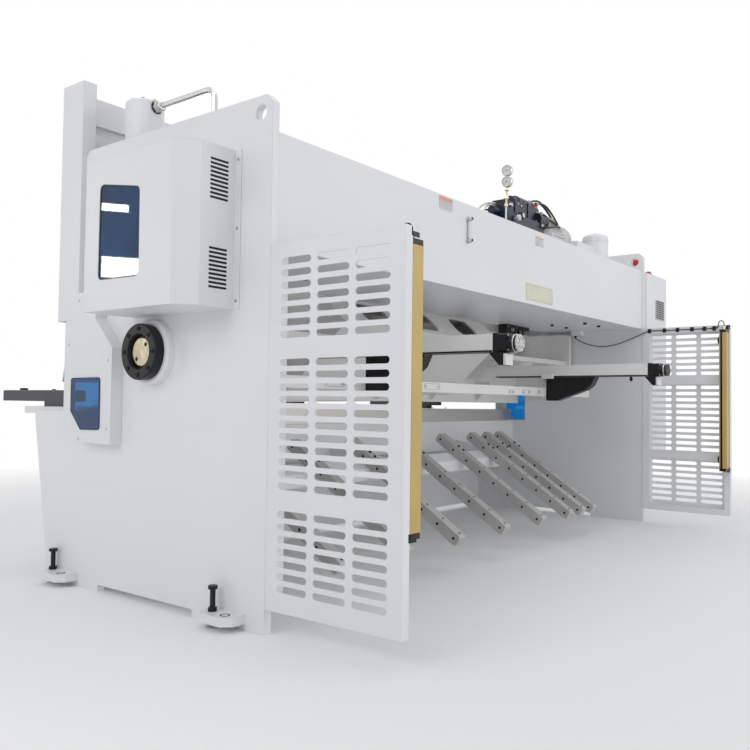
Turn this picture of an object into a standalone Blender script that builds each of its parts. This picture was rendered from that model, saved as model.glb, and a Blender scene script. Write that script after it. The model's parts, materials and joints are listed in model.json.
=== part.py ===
"""Hydraulic swing-beam shear for plate, built as a welded frame with a swinging blade beam.

Metres, +Z up. +X is the operator's right, +Y the rear where the cut strips fall.
Shapes are written in machine coordinates (X from the middle plane, Y from the rear edge
of the side plates, Z from the floor) and hang on one empty that moves the whole machine
so that the middle of its footprint stands on the world origin.
"""

import math

import bmesh
import bpy
from mathutils import Matrix, Vector

# Overall frame
HALF_WIDTH = 1.72
PLATE_T = 0.03
PLATE_HEIGHT = 1.76
INNER = HALF_WIDTH - PLATE_T
GAP = 0.0003

# Footprint, set by the pieces that reach furthest
RIGHT_REACH = HALF_WIDTH + 0.215
LEFT_REACH = HALF_WIDTH + 0.38
FRONT_REACH = 1.83
REAR_REACH = 0.541

# Swing axis of the blade beam
PIVOT_Y = -0.597
PIVOT_Z = 0.923
PIN_R = 0.0545
RUN_FIT = 0.0005

# Cutting line
TABLE_Z = 0.715
CUT_Y = -0.96
BLADE_GAP = 0.0055
BLADE_T = 0.025
BLADE_H = 0.08
BLADE_LOW_Z = 0.735
BLADE_RAKE = 0.045

# Swinging beam
BEAM_HALF = INNER - 0.025
BOX_HALF = 0.72
BEAM_FRONT_Y = CUT_Y + BLADE_GAP + BLADE_T + GAP
BEAM_PLATE = 0.03
BEAM_TOP_Z = 1.248
ARM_H = 0.07

# Oil tank that ties the side plates together at the top rear
TANK_LOW_Z = 1.258
TANK_TOP_Z = 1.641
TANK_FRONT_Y = -0.69
TANK_REAR_Y = -0.012
TANK_WALL = 0.01

# Rear guards
GUARD_DEPTH = 0.541
GUARD_T = 0.035
GUARD_LOW_Z = 0.084
SHEET = 0.004

SLIDE_BAR_X = (1.31, 0.91, 0.51, 0.10, -0.29, -0.62, -0.79, -0.94)
SLIDE_BAR_TOP = (-0.650, 0.585)
SLIDE_BAR_END = (-0.006, 0.167)
SLIDE_BAR_SIZE = 0.052

for old in list(bpy.data.objects):
    bpy.data.objects.remove(old, do_unlink=True)

machine = bpy.data.collections.new("hydraulic_shear")
bpy.context.scene.collection.children.link(machine)
helpers = bpy.data.collections.new("cutters")
helpers.hide_render = True
bpy.context.scene.collection.children.link(helpers)

origin = bpy.data.objects.new("machine_origin", None)
origin.location = (
    (LEFT_REACH - RIGHT_REACH) / 2,
    (FRONT_REACH - REAR_REACH) / 2,
    0,
)
machine.objects.link(origin)

LOOKS = {
    "frame_paint": ((0.80, 0.81, 0.82), 0.45, 0.0),
    "cover_paint": ((0.78, 0.79, 0.80), 0.42, 0.0),
    "guard_paint": ((0.80, 0.81, 0.83), 0.45, 0.0),
    "beam_paint": ((0.74, 0.74, 0.73), 0.5, 0.0),
    "bar_paint": ((0.50, 0.50, 0.50), 0.5, 0.0),
    "slate_paint": ((0.045, 0.055, 0.06), 0.5, 0.0),
    "black_steel": ((0.02, 0.02, 0.022), 0.4, 0.2),
    "navy_paint": ((0.02, 0.03, 0.07), 0.4, 0.1),
    "tool_steel": ((0.42, 0.43, 0.44), 0.3, 1.0),
    "brass": ((0.72, 0.62, 0.42), 0.35, 1.0),
    "bright_steel": ((0.62, 0.61, 0.60), 0.25, 1.0),
    "curtain_yellow": ((0.62, 0.44, 0.10), 0.45, 0.0),
    "window_blue": ((0.02, 0.16, 0.42), 0.1, 0.0),
    "window_dark": ((0.01, 0.05, 0.12), 0.08, 0.0),
    "black_rubber": ((0.012, 0.012, 0.013), 0.55, 0.0),
}


def material(look, name):
    """A Principled material of this look, one for each piece."""
    colour, roughness, metallic = LOOKS[look]
    made = bpy.data.materials.new(name)
    made.use_nodes = True
    made.diffuse_color = (*colour, 1)
    shader = made.node_tree.nodes["Principled BSDF"]
    shader.inputs["Base Color"].default_value = (*colour, 1)
    shader.inputs["Roughness"].default_value = roughness
    shader.inputs["Metallic"].default_value = metallic
    return made


def add(name, vertices, faces, look=None, pivot=(0, 0, 0)):
    """A closed mesh object. With no look it is a helper and stays out of the machine."""
    mesh = bpy.data.meshes.new(name)
    shift = Vector(pivot)
    mesh.from_pydata([Vector(v) - shift for v in vertices], [], faces)
    work = bmesh.new()
    work.from_mesh(mesh)
    bmesh.ops.recalc_face_normals(work, faces=work.faces)
    work.to_mesh(mesh)
    work.free()
    made = bpy.data.objects.new(name, mesh)
    made.parent = origin
    made.location = pivot
    if look is None:
        made.hide_render = True
        made.display_type = "WIRE"
        helpers.objects.link(made)
    else:
        mesh.materials.append(material(look, name))
        machine.objects.link(made)
    return made


AXES = {"X": (0, 1, 2), "Y": (1, 0, 2), "Z": (2, 0, 1)}


def prism_data(outline, axis, low, high, start=0):
    """Vertices and faces of an outline pushed along an axis from low to high."""
    along, first, second = AXES[axis]
    vertices = []
    for level in (low, high):
        for u, v in outline:
            point = [0, 0, 0]
            point[along] = level
            point[first] = u
            point[second] = v
            vertices.append(tuple(point))
    count = len(outline)
    faces = [tuple(range(start, start + count))]
    faces.append(tuple(range(start + 2 * count - 1, start + count - 1, -1)))
    for i in range(count):
        j = (i + 1) % count
        faces.append((start + i, start + j, start + count + j, start + count + i))
    return vertices, faces


def prism(name, outline, axis, low, high, look=None, pivot=(0, 0, 0)):
    vertices, faces = prism_data(outline, axis, low, high)
    return add(name, vertices, faces, look, pivot)


def box(name, x, y, z, look=None, pivot=(0, 0, 0)):
    outline = [(x[0], y[0]), (x[1], y[0]), (x[1], y[1]), (x[0], y[1])]
    return prism(name, outline, "Z", z[0], z[1], look, pivot)


def many(name, prisms):
    """One helper mesh that holds several separate prisms."""
    vertices = []
    faces = []
    for outline, axis, low, high in prisms:
        more, sides = prism_data(outline, axis, low, high, len(vertices))
        vertices += more
        faces += sides
    return add(name, vertices, faces)


def rounded(points, radius, steps=3):
    """The outline with each corner replaced by a small arc. radius may be one per corner."""
    radii = radius if isinstance(radius, (list, tuple)) else [radius] * len(points)
    made = []
    for i, corner in enumerate(points):
        here = Vector(corner)
        back = (Vector(points[i - 1]) - here).normalized()
        ahead = (Vector(points[(i + 1) % len(points)]) - here).normalized()
        if radii[i] <= 0:
            made.append(tuple(here))
            continue
        half = back.angle(ahead) / 2
        centre = here + (back + ahead).normalized() * radii[i] / math.sin(half)
        first = here + back * radii[i] / math.tan(half) - centre
        last = here + ahead * radii[i] / math.tan(half) - centre
        start = math.atan2(first.y, first.x)
        turn = math.atan2(last.y, last.x) - start
        turn = (turn + math.pi) % (2 * math.pi) - math.pi
        for k in range(steps + 1):
            angle = start + turn * k / steps
            spoke = Vector((math.cos(angle), math.sin(angle))) * radii[i]
            made.append(tuple(centre + spoke))
    return made


def rectangle(u, v):
    return [(u[0], v[0]), (u[1], v[0]), (u[1], v[1]), (u[0], v[1])]


def circle(u, v, radius, steps=24):
    turns = [2 * math.pi * k / steps for k in range(steps)]
    return [(u + radius * math.cos(t), v + radius * math.sin(t)) for t in turns]


def revolve(name, profile, axis, centre, look=None, steps=32, closed=False, pivot=(0, 0, 0)):
    """A turned solid. profile holds (radius, distance along the axis) from one end on.

    An open profile starts and ends on the axis; a closed one is a ring around it."""
    along, first, second = AXES[axis]
    vertices = []
    rings = []
    for radius, level in profile:
        ring = []
        for k in range(1 if radius < 1e-9 else steps):
            turn = 2 * math.pi * k / steps
            point = [0, 0, 0]
            point[along] = level
            point[first] = centre[0] + radius * math.cos(turn)
            point[second] = centre[1] + radius * math.sin(turn)
            ring.append(len(vertices))
            vertices.append(tuple(point))
        rings.append(ring)
    faces = []
    pairs = list(zip(rings, rings[1:]))
    if closed:
        pairs.append((rings[-1], rings[0]))
    for one, two in pairs:
        for k in range(steps):
            j = (k + 1) % steps
            if len(one) == 1:
                faces.append((one[0], two[k], two[j]))
            elif len(two) == 1:
                faces.append((one[k], two[0], one[j]))
            else:
                faces.append((one[k], two[k], two[j], one[j]))
    return add(name, vertices, faces, look, pivot)


def boolean(target, other, operation):
    step = target.modifiers.new(other.name, "BOOLEAN")
    step.operation = operation
    step.solver = "EXACT"
    step.object = other
    return target


def cut(target, *others):
    for other in others:
        boolean(target, other, "DIFFERENCE")
    return target


def weld(target, *others):
    for other in others:
        boolean(target, other, "UNION")
    return target


def pipe(name, points, radius, look):
    """A bent tube drawn through the points, with its ends closed."""
    curve = bpy.data.curves.new(name, "CURVE")
    curve.dimensions = "3D"
    curve.bevel_depth = radius
    curve.bevel_resolution = 2
    curve.use_fill_caps = True
    line = curve.splines.new("POLY")
    line.points.add(len(points) - 1)
    for place, point in zip(line.points, points):
        place.co = (*point, 1)
    curve.materials.append(material(look, name))
    made = bpy.data.objects.new(name, curve)
    made.parent = origin
    machine.objects.link(made)
    return made


def fillet_path(points, radius, steps=5):
    """The path with each inner corner turned into an arc."""
    made = [Vector(points[0])]
    for i in range(1, len(points) - 1):
        here = Vector(points[i])
        back = (Vector(points[i - 1]) - here).normalized()
        ahead = (Vector(points[i + 1]) - here).normalized()
        half = back.angle(ahead) / 2
        reach = radius / math.tan(half)
        start = here + back * reach
        end = here + ahead * reach
        for k in range(steps + 1):
            t = k / steps
            made.append(start * (1 - t) ** 2 + here * 2 * t * (1 - t) + end * t * t)
    made.append(Vector(points[-1]))
    return [tuple(point) for point in made]


SIDES = (("right", 1), ("left", -1))


def spread(side, *distances):
    """Two X values, low first, from distances out to this side."""
    return tuple(sorted(side * distance for distance in distances))


# Side plates with their feet, pivot bosses and cylinder shelves
PLATE_OUTLINE = [
    (0, 0),
    (-0.357, 0),
    (-0.357, 0.025),
    (-0.923, 0.025),
    (-0.923, 0),
    (-1.283, 0),
    (-1.355, 0.361),
    (-1.416, 0.664),
    (-1.416, 0.700),
    (-1.07, 0.700),
    (-1.05, 0.640),
    (-0.855, 0.640),
    (-0.855, 0.830),
    (-1.075, 0.830),
    (-1.075, 1.735),
    (-1.050, PLATE_HEIGHT),
    (-0.028, PLATE_HEIGHT),
    (0, 1.732),
]
BOSS_R = 0.12
BOSS_OUT = 0.035
FOOT_Z = (0.022, 0.052)
FOOT_OUT = 0.082
CYLINDER_X = INNER - 0.115
CYLINDER_Y = -0.89
CYLINDER_R = 0.0775
PORT_Y = CYLINDER_Y + CYLINDER_R + 0.02
PORT_Z = TANK_TOP_Z + 0.288
SHELF_Z = 1.36
SHELF_T = 0.03

for side_name, side in SIDES:
    plate = prism(
        "side_plate_" + side_name,
        PLATE_OUTLINE,
        "X",
        *spread(side, INNER, HALF_WIDTH),
        "frame_paint",
    )
    boss = revolve(
        "boss_" + side_name,
        [
            (0, side * (INNER + 0.001)),
            (BOSS_R, side * (INNER + 0.001)),
            (BOSS_R, side * (HALF_WIDTH + BOSS_OUT - 0.01)),
            (BOSS_R - 0.008, side * (HALF_WIDTH + BOSS_OUT)),
            (0, side * (HALF_WIDTH + BOSS_OUT)),
        ],
        "X",
        (PIVOT_Y, PIVOT_Z),
        steps=40,
    )
    weld(plate, boss)
    for end_name, y in (("front", (-1.225, -1.065)), ("rear", (-0.250, -0.090))):
        foot = prism(
            "foot_" + end_name + "_" + side_name,
            [
                (side * (INNER + 0.005), y[0]),
                (side * (HALF_WIDTH + FOOT_OUT - 0.03), y[0]),
                (side * (HALF_WIDTH + FOOT_OUT), y[0] + 0.03),
                (side * (HALF_WIDTH + FOOT_OUT), y[1] - 0.03),
                (side * (HALF_WIDTH + FOOT_OUT - 0.03), y[1]),
                (side * (INNER + 0.005), y[1]),
            ],
            "Z",
            *FOOT_Z,
        )
        weld(plate, foot)
    shelf = box(
        "shelf_" + side_name,
        spread(side, CYLINDER_X - 0.135, INNER + 0.005),
        (-1.0, -0.715),
        (SHELF_Z, SHELF_Z + SHELF_T),
    )
    rib = prism(
        "shelf_rib_" + side_name,
        [
            (side * (INNER + 0.005), SHELF_Z + 0.005),
            (side * (CYLINDER_X - 0.105), SHELF_Z + 0.005),
            (side * (INNER + 0.005), SHELF_Z - 0.11),
        ],
        "Y",
        -0.76,
        -0.735,
    )
    weld(plate, shelf, rib)
    cut(
        plate,
        prism(
            "pivot_bore_" + side_name,
            circle(PIVOT_Y, PIVOT_Z, PIN_R + RUN_FIT, 32),
            "X",
            *spread(side, INNER - 0.05, HALF_WIDTH + 0.1),
        ),
        prism(
            "lifting_hole_" + side_name,
            circle(-0.055, 1.704, 0.026),
            "X",
            *spread(side, INNER - 0.05, HALF_WIDTH + 0.1),
        ),
        prism(
            "shelf_bore_" + side_name,
            circle(side * CYLINDER_X, CYLINDER_Y, CYLINDER_R + RUN_FIT, 32),
            "Z",
            SHELF_Z - 0.05,
            SHELF_Z + 0.1,
        ),
    )

# Pivot pins and their flanges
for side_name, side in SIDES:
    revolve(
        "pivot_pin_" + side_name,
        [
            (0, side * (INNER - 0.105)),
            (PIN_R - 0.003, side * (INNER - 0.105)),
            (PIN_R, side * (INNER - 0.102)),
            (PIN_R, side * (HALF_WIDTH + 0.055)),
            (PIN_R - 0.004, side * (HALF_WIDTH + 0.059)),
            (0, side * (HALF_WIDTH + 0.059)),
        ],
        "X",
        (PIVOT_Y, PIVOT_Z),
        "brass",
    )
    flange_low = HALF_WIDTH + BOSS_OUT + GAP
    revolve(
        "pivot_flange_" + side_name,
        [
            (PIN_R + RUN_FIT, side * flange_low),
            (0.103, side * flange_low),
            (0.103, side * (flange_low + 0.034)),
            (0.099, side * (flange_low + 0.038)),
            (0.066, side * (flange_low + 0.038)),
            (0.063, side * (flange_low + 0.034)),
            (0.060, side * (flange_low + 0.014)),
            (PIN_R + RUN_FIT, side * (flange_low + 0.012)),
        ],
        "X",
        (PIVOT_Y, PIVOT_Z),
        "black_steel",
        steps=40,
        closed=True,
    )

# Oil tank: a folded trough between the plates, and its lid
tank = prism(
    "oil_tank",
    [
        (TANK_FRONT_Y, TANK_LOW_Z),
        (TANK_REAR_Y, TANK_LOW_Z),
        (TANK_REAR_Y, TANK_TOP_Z),
        (TANK_REAR_Y - TANK_WALL, TANK_TOP_Z),
        (TANK_REAR_Y - TANK_WALL, TANK_LOW_Z + TANK_WALL),
        (TANK_FRONT_Y + TANK_WALL, TANK_LOW_Z + TANK_WALL),
        (TANK_FRONT_Y + TANK_WALL, TANK_TOP_Z - 0.0123),
        (TANK_FRONT_Y, TANK_TOP_Z - 0.0123),
    ],
    "X",
    -INNER + GAP,
    INNER - GAP,
    "frame_paint",
)
box(
    "tank_lid",
    (-INNER + GAP, INNER - GAP),
    (TANK_FRONT_Y - 0.01, TANK_REAR_Y - TANK_WALL - GAP),
    (TANK_TOP_Z - 0.012, TANK_TOP_Z - 0.001),
    "frame_paint",
)

# Bed, lower blade and table
BED_T = 0.04
bed = prism(
    "bed_beam",
    [
        (CUT_Y, 0.45),
        (CUT_Y, TABLE_Z - BLADE_H - GAP),
        (CUT_Y - BLADE_T - GAP, TABLE_Z - BLADE_H - GAP),
        (CUT_Y - BLADE_T - GAP, TABLE_Z),
        (-1.30, TABLE_Z),
        (-1.30, 0.58),
        (-1.262, 0.54),
        (-1.262, 0.03),
        (-1.238, 0.03),
        (-1.238, 0.58),
        (-1.262, TABLE_Z - BED_T),
        (CUT_Y - 0.07, TABLE_Z - BED_T),
        (CUT_Y - 0.045, TABLE_Z - 0.10),
        (CUT_Y - 0.045, 0.45),
    ],
    "X",
    -INNER + GAP,
    INNER - GAP,
    "frame_paint",
)
box(
    "lower_blade",
    (-INNER + 0.01, INNER - 0.01),
    (CUT_Y - BLADE_T, CUT_Y),
    (TABLE_Z - BLADE_H, TABLE_Z),
    "tool_steel",
)
table = prism(
    "work_table",
    [
        (-1.56, TABLE_Z - 0.030),
        (-1.45, TABLE_Z - 0.030),
        (-1.42, TABLE_Z - 0.060),
        (-1.42, 0.60),
        (-1.40, 0.60),
        (-1.40, TABLE_Z - 0.060),
        (-1.3003, TABLE_Z - 0.060),
        (-1.3003, TABLE_Z),
        (-1.56, TABLE_Z),
    ],
    "X",
    -INNER + GAP,
    INNER - GAP,
    "frame_paint",
)

# Sheet support arms, each on a foot block that stands on the table
ARM_FRONT_Y = -FRONT_REACH
for arm_name, x in (("squaring_arm", INNER - 0.07), ("support_arm_middle", 0.25), ("support_arm_left", -1.15)):
    prism(
        arm_name,
        [
            (ARM_FRONT_Y, 0.737),
            (-1.47, 0.737),
            (-1.47, TABLE_Z + GAP),
            (-1.32, TABLE_Z + GAP),
            (-1.32, 0.737),
            (-1.24, 0.737),
            (-1.24, 0.785),
            (ARM_FRONT_Y, 0.785),
        ],
        "X",
        x - 0.03,
        x + 0.03,
        "slate_paint",
    )

# Rear cross beam with a sloping seat, its brackets to the bed, and the slide bars
bar_top = Vector(SLIDE_BAR_TOP)
bar_end = Vector(SLIDE_BAR_END)
slope = (bar_end - bar_top).normalized()
normal = Vector((-slope.y, slope.x))
seat = bar_top - normal * (SLIDE_BAR_SIZE + GAP)
seat_high = seat + slope * 0.119
seat_low = seat + slope * 0.192
SEAT_LOW_Z = 0.379
cross_beam = prism(
    "rear_cross_beam",
    [
        tuple(seat_high),
        tuple(seat_low),
        (seat_low.x, SEAT_LOW_Z),
        (seat_high.x, SEAT_LOW_Z),
    ],
    "X",
    -0.972,
    INNER - GAP,
    "frame_paint",
)
brackets = []
for x in (-0.86, 0.30, 1.10):
    brackets.append(
        (
            [
                (seat_high.x + 0.01, SEAT_LOW_Z + 0.005),
                (seat_high.x + 0.01, seat_high.y - 0.012),
                (CUT_Y + GAP, seat_high.y + 0.05),
                (CUT_Y + GAP, 0.452),
            ],
            "X",
            x - 0.01,
            x + 0.01,
        )
    )
weld(cross_beam, many("cross_beam_brackets", brackets))
BAR_ROUND = 0.012
for number, x in enumerate(SLIDE_BAR_X, 1):
    corners = [
        bar_top,
        bar_end,
        bar_end - normal * SLIDE_BAR_SIZE,
        bar_top - normal * SLIDE_BAR_SIZE,
    ]
    prism(
        "slide_bar_%d" % number,
        rounded([tuple(corner) for corner in corners], BAR_ROUND),
        "X",
        x - SLIDE_BAR_SIZE / 2,
        x + SLIDE_BAR_SIZE / 2,
        "bar_paint",
    )

# Swinging blade beam, with its origin on the swing axis
PIVOT = (0, PIVOT_Y, PIVOT_Z)
BEAM_BACK_Y = BEAM_FRONT_Y + BEAM_PLATE
BOX_PLATE = 0.012
FLANGE_Z = (1.022, 1.052)
FLANGE_REAR_Y = -0.515
BOX_OUTLINE = [
    (BEAM_BACK_Y, BEAM_TOP_Z),
    (BEAM_BACK_Y, 0.80),
    (-0.787, 0.883),
    (-0.518, 1.123),
    (-0.655, BEAM_TOP_Z),
]


def inset(points, distance):
    """The convex outline moved inwards by this distance. The points run counterclockwise."""
    made = []
    for i, corner in enumerate(points):
        here = Vector(corner)
        back = (here - Vector(points[i - 1])).normalized()
        ahead = (Vector(points[(i + 1) % len(points)]) - here).normalized()
        inward = Vector((-back.y - ahead.y, back.x + ahead.x)).normalized()
        made.append(tuple(here + inward * distance / inward.dot(Vector((-back.y, back.x)))))
    return made


beam = box(
    "swing_beam",
    (-BEAM_HALF, BEAM_HALF),
    (BEAM_FRONT_Y, BEAM_BACK_Y),
    (0.76, BEAM_TOP_Z),
    "beam_paint",
    pivot=PIVOT,
)
torsion_box = [(BEAM_BACK_Y - 0.005, BEAM_TOP_Z), (BEAM_BACK_Y - 0.005, 0.80)] + BOX_OUTLINE[1:]
weld(beam, prism("torsion_box", torsion_box, "X", -BOX_HALF, BOX_HALF))
cut(
    beam,
    prism(
        "torsion_box_hollow",
        inset(BOX_OUTLINE, BOX_PLATE),
        "X",
        -BOX_HALF + BOX_PLATE,
        BOX_HALF - BOX_PLATE,
    ),
)
WINDOW_PITCH = 0.4175
windows = []
for k in (-1, 0, 1):
    x = WINDOW_PITCH * k
    opening = rounded(rectangle((x - 0.107, x + 0.107), (1.140, BEAM_TOP_Z - 0.0125)), 0.035)
    windows.append((opening, "Y", -0.72, -0.45))
cut(beam, many("torsion_box_openings", windows))
stiffeners = []
for k in range(-2, 3):
    x = 0.54 * k
    stiffeners.append(
        (
            [
                (BEAM_BACK_Y - 0.005, 0.775),
                (BEAM_BACK_Y + 0.015, 0.775),
                (BEAM_BACK_Y + 0.105, 0.875),
                (BEAM_BACK_Y + 0.105, 0.895),
                (BEAM_BACK_Y - 0.005, 0.895),
            ],
            "X",
            x - 0.01,
            x + 0.01,
        )
    )
weld(beam, many("beam_stiffeners", stiffeners))
for side_name, side in SIDES:
    flange = box(
        "beam_flange_" + side_name,
        spread(side, BOX_HALF + 0.08, BEAM_HALF - 0.02),
        (BEAM_BACK_Y - 0.005, FLANGE_REAR_Y),
        FLANGE_Z,
    )
    lip = box(
        "beam_flange_lip_" + side_name,
        spread(side, BOX_HALF + 0.08, BOX_HALF + 0.0995),
        (FLANGE_REAR_Y - 0.09, FLANGE_REAR_Y),
        (FLANGE_Z[0] - 0.02, FLANGE_Z[1]),
    )
    cheek = prism(
        "beam_cheek_" + side_name,
        [
            (BEAM_BACK_Y - 0.005, 0.86),
            (BEAM_BACK_Y + 0.02, 0.84),
            (PIVOT_Y - 0.05, 0.835),
            (PIVOT_Y + 0.05, 0.835),
            (PIVOT_Y + 0.108, 0.88),
            (PIVOT_Y + 0.108, 1.228),
            (PIVOT_Y + 0.05, 1.235),
            (BEAM_BACK_Y - 0.005, 1.235),
        ],
        "X",
        *spread(side, BEAM_HALF - 0.04, BEAM_HALF),
    )
    pad = box(
        "cylinder_pad_" + side_name,
        spread(side, CYLINDER_X - 0.09, BEAM_HALF),
        (BEAM_BACK_Y - 0.005, CYLINDER_Y + 0.07),
        (BEAM_TOP_Z - 0.035, BEAM_TOP_Z),
    )
    web = prism(
        "cylinder_web_" + side_name,
        [
            (BEAM_BACK_Y - 0.005, FLANGE_Z[1] - 0.01),
            (BEAM_BACK_Y + 0.03, FLANGE_Z[1] - 0.01),
            (CYLINDER_Y + 0.07, BEAM_TOP_Z - 0.03),
            (BEAM_BACK_Y - 0.005, BEAM_TOP_Z - 0.03),
        ],
        "X",
        *spread(side, CYLINDER_X - 0.075, CYLINDER_X - 0.055),
    )
    weld(beam, flange, lip, cheek, pad, web)
bores = []
for side_name, side in SIDES:
    bores.append(
        (
            circle(PIVOT_Y, PIVOT_Z, PIN_R + RUN_FIT, 32),
            "X",
            *spread(side, BEAM_HALF - 0.12, BEAM_HALF + 0.02),
        )
    )
cut(beam, many("beam_bores", bores))

blade_front = CUT_Y + BLADE_GAP
prism(
    "upper_blade",
    [
        (-INNER + 0.03, BLADE_LOW_Z + BLADE_RAKE),
        (INNER - 0.03, BLADE_LOW_Z),
        (INNER - 0.03, BLADE_LOW_Z + BLADE_H + BLADE_RAKE),
        (-INNER + 0.03, BLADE_LOW_Z + BLADE_H + BLADE_RAKE),
    ],
    "Y",
    blade_front,
    blade_front + BLADE_T,
    "tool_steel",
    pivot=PIVOT,
)

# Hydraulic cylinders that push the beam down
for side_name, side in SIDES:
    x = side * CYLINDER_X
    cylinder = revolve(
        "cylinder_" + side_name,
        [
            (0, BEAM_TOP_Z + 0.0055),
            (0.034, BEAM_TOP_Z + 0.0055),
            (0.034, BEAM_TOP_Z + 0.037),
            (CYLINDER_R - 0.006, BEAM_TOP_Z + 0.037),
            (CYLINDER_R, BEAM_TOP_Z + 0.043),
            (CYLINDER_R, SHELF_Z + SHELF_T + GAP),
            (0.105, SHELF_Z + SHELF_T + GAP),
            (0.105, SHELF_Z + SHELF_T + 0.03),
            (CYLINDER_R, SHELF_Z + SHELF_T + 0.03),
            (CYLINDER_R, TANK_TOP_Z + 0.311),
            (CYLINDER_R - 0.008, TANK_TOP_Z + 0.319),
            (0, TANK_TOP_Z + 0.319),
        ],
        "Z",
        (x, CYLINDER_Y),
        "cover_paint",
    )
    weld(
        cylinder,
        revolve(
            "cylinder_port_" + side_name,
            [
                (0, CYLINDER_Y + 0.04),
                (0.022, CYLINDER_Y + 0.04),
                (0.022, PORT_Y),
                (0, PORT_Y),
            ],
            "Y",
            (x, PORT_Z),
            steps=12,
        ),
    )

# Hold-down beam with its row of clamping cylinders
HOLD_Y = -1.045
hold = box(
    "hold_down_beam",
    (-INNER + GAP, INNER - GAP),
    (HOLD_Y - 0.025, HOLD_Y),
    (0.93, 1.40),
    "beam_paint",
)
feet = []
for k in range(12):
    x = (INNER - 0.17) * (2 * k / 11 - 1)
    feet.append((circle(x, HOLD_Y - 0.045, 0.032, 12), "Z", 0.79, 0.98))
weld(hold, many("clamping_cylinders", feet))
box_front = box(
    "clamping_block",
    (-INNER + 0.05, INNER - 0.05),
    (HOLD_Y - 0.085, HOLD_Y - 0.005),
    (0.86, 0.96),
)
weld(hold, box_front)

# Front cover with its folded ends, and the finger guard below it
COVER_LOW_Z = 1.067
COVER_TOP_Z = 2.05
COVER_Y = -1.223
COVER_BACK_Y = -1.075 - GAP
cover = box(
    "front_cover",
    (-HALF_WIDTH - 0.02, HALF_WIDTH + 0.02),
    (COVER_Y, COVER_BACK_Y),
    (COVER_LOW_Z, COVER_TOP_Z),
    "cover_paint",
)
cut(
    cover,
    box(
        "cover_hollow",
        (-HALF_WIDTH + 0.04, HALF_WIDTH - 0.04),
        (COVER_Y + SHEET, -1.0),
        (COVER_LOW_Z + SHEET, COVER_TOP_Z + 0.1),
    ),
)
for side_name, side in SIDES:
    cut(
        cover,
        box(
            "cover_end_hollow_" + side_name,
            spread(side, HALF_WIDTH - 0.036, HALF_WIDTH + 0.02 - SHEET),
            (COVER_Y + SHEET, COVER_BACK_Y - SHEET),
            (COVER_LOW_Z - 0.1, COVER_TOP_Z - SHEET),
        ),
    )
guard_front = prism(
    "finger_guard",
    [
        (COVER_Y - GAP, 1.12),
        (COVER_Y - GAP, 1.04),
        (-1.279, 0.963),
        (-1.3105, 0.822),
        (-1.3155, 0.822),
        (-1.2845, 0.965),
        (COVER_Y - 0.005, 1.043),
        (COVER_Y - 0.005, 1.12),
    ],
    "X",
    -INNER + 0.03,
    INNER - 0.03,
    "cover_paint",
)
slots = []
for k in range(40):
    x = (INNER - 0.09) * (2 * k / 39 - 1)
    slots.append((rectangle((x - 0.012, x + 0.012), (0.845, 0.95)), "Y", -1.36, -1.25))
cut(guard_front, many("finger_slots", slots))

# Cover box on the right end, with its window
BOX_OUT = HALF_WIDTH + 0.215
BOX_Y = (-0.725, -0.173)
BOX_Z = (1.058, 1.597)
SIDE_WINDOW_HOLE = [(-0.642, 1.167), (-0.404, 1.1635), (-0.4075, 1.467), (-0.640, 1.5085)]
SIDE_WINDOW_PANE = [(-0.657, 1.152), (-0.389, 1.1485), (-0.3925, 1.4825), (-0.655, 1.527)]
side_cover = prism(
    "side_cover_right",
    [
        (HALF_WIDTH + GAP, BOX_Y[0]),
        (BOX_OUT, BOX_Y[0]),
        (BOX_OUT, -0.235),
        (BOX_OUT - 0.068, BOX_Y[1]),
        (HALF_WIDTH + GAP, BOX_Y[1]),
    ],
    "Z",
    *BOX_Z,
    "cover_paint",
)
weld(
    side_cover,
    box(
        "cover_flange",
        (HALF_WIDTH + GAP, HALF_WIDTH + GAP + 0.003),
        (BOX_Y[1] - 0.002, -0.143),
        BOX_Z,
    ),
)
cut(
    side_cover,
    prism(
        "side_cover_hollow",
        [
            (HALF_WIDTH - 0.05, BOX_Y[0] + SHEET),
            (BOX_OUT - SHEET, BOX_Y[0] + SHEET),
            (BOX_OUT - SHEET, -0.235 - 0.002),
            (BOX_OUT - 0.068 - 0.002, BOX_Y[1] - SHEET),
            (HALF_WIDTH - 0.05, BOX_Y[1] - SHEET),
        ],
        "Z",
        BOX_Z[0] + SHEET,
        BOX_Z[1] - SHEET,
    ),
    prism(
        "side_window_hole",
        rounded(SIDE_WINDOW_HOLE, 0.02),
        "X",
        BOX_OUT - 0.02,
        BOX_OUT + 0.02,
    ),
)
louvres = []
for z0 in (1.120, 1.416):
    for k in range(10):
        z = z0 + 0.0142 * k
        louvres.append(
            (rectangle((HALF_WIDTH + 0.034, HALF_WIDTH + 0.110), (z, z + 0.006)), "Y", -0.2, -0.15)
        )
cut(side_cover, many("side_cover_louvres", louvres))
prism(
    "side_window_right",
    rounded(SIDE_WINDOW_PANE, 0.02),
    "X",
    BOX_OUT - SHEET - 0.0003 - 0.004,
    BOX_OUT - SHEET - 0.0003,
    "window_dark",
)

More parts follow.
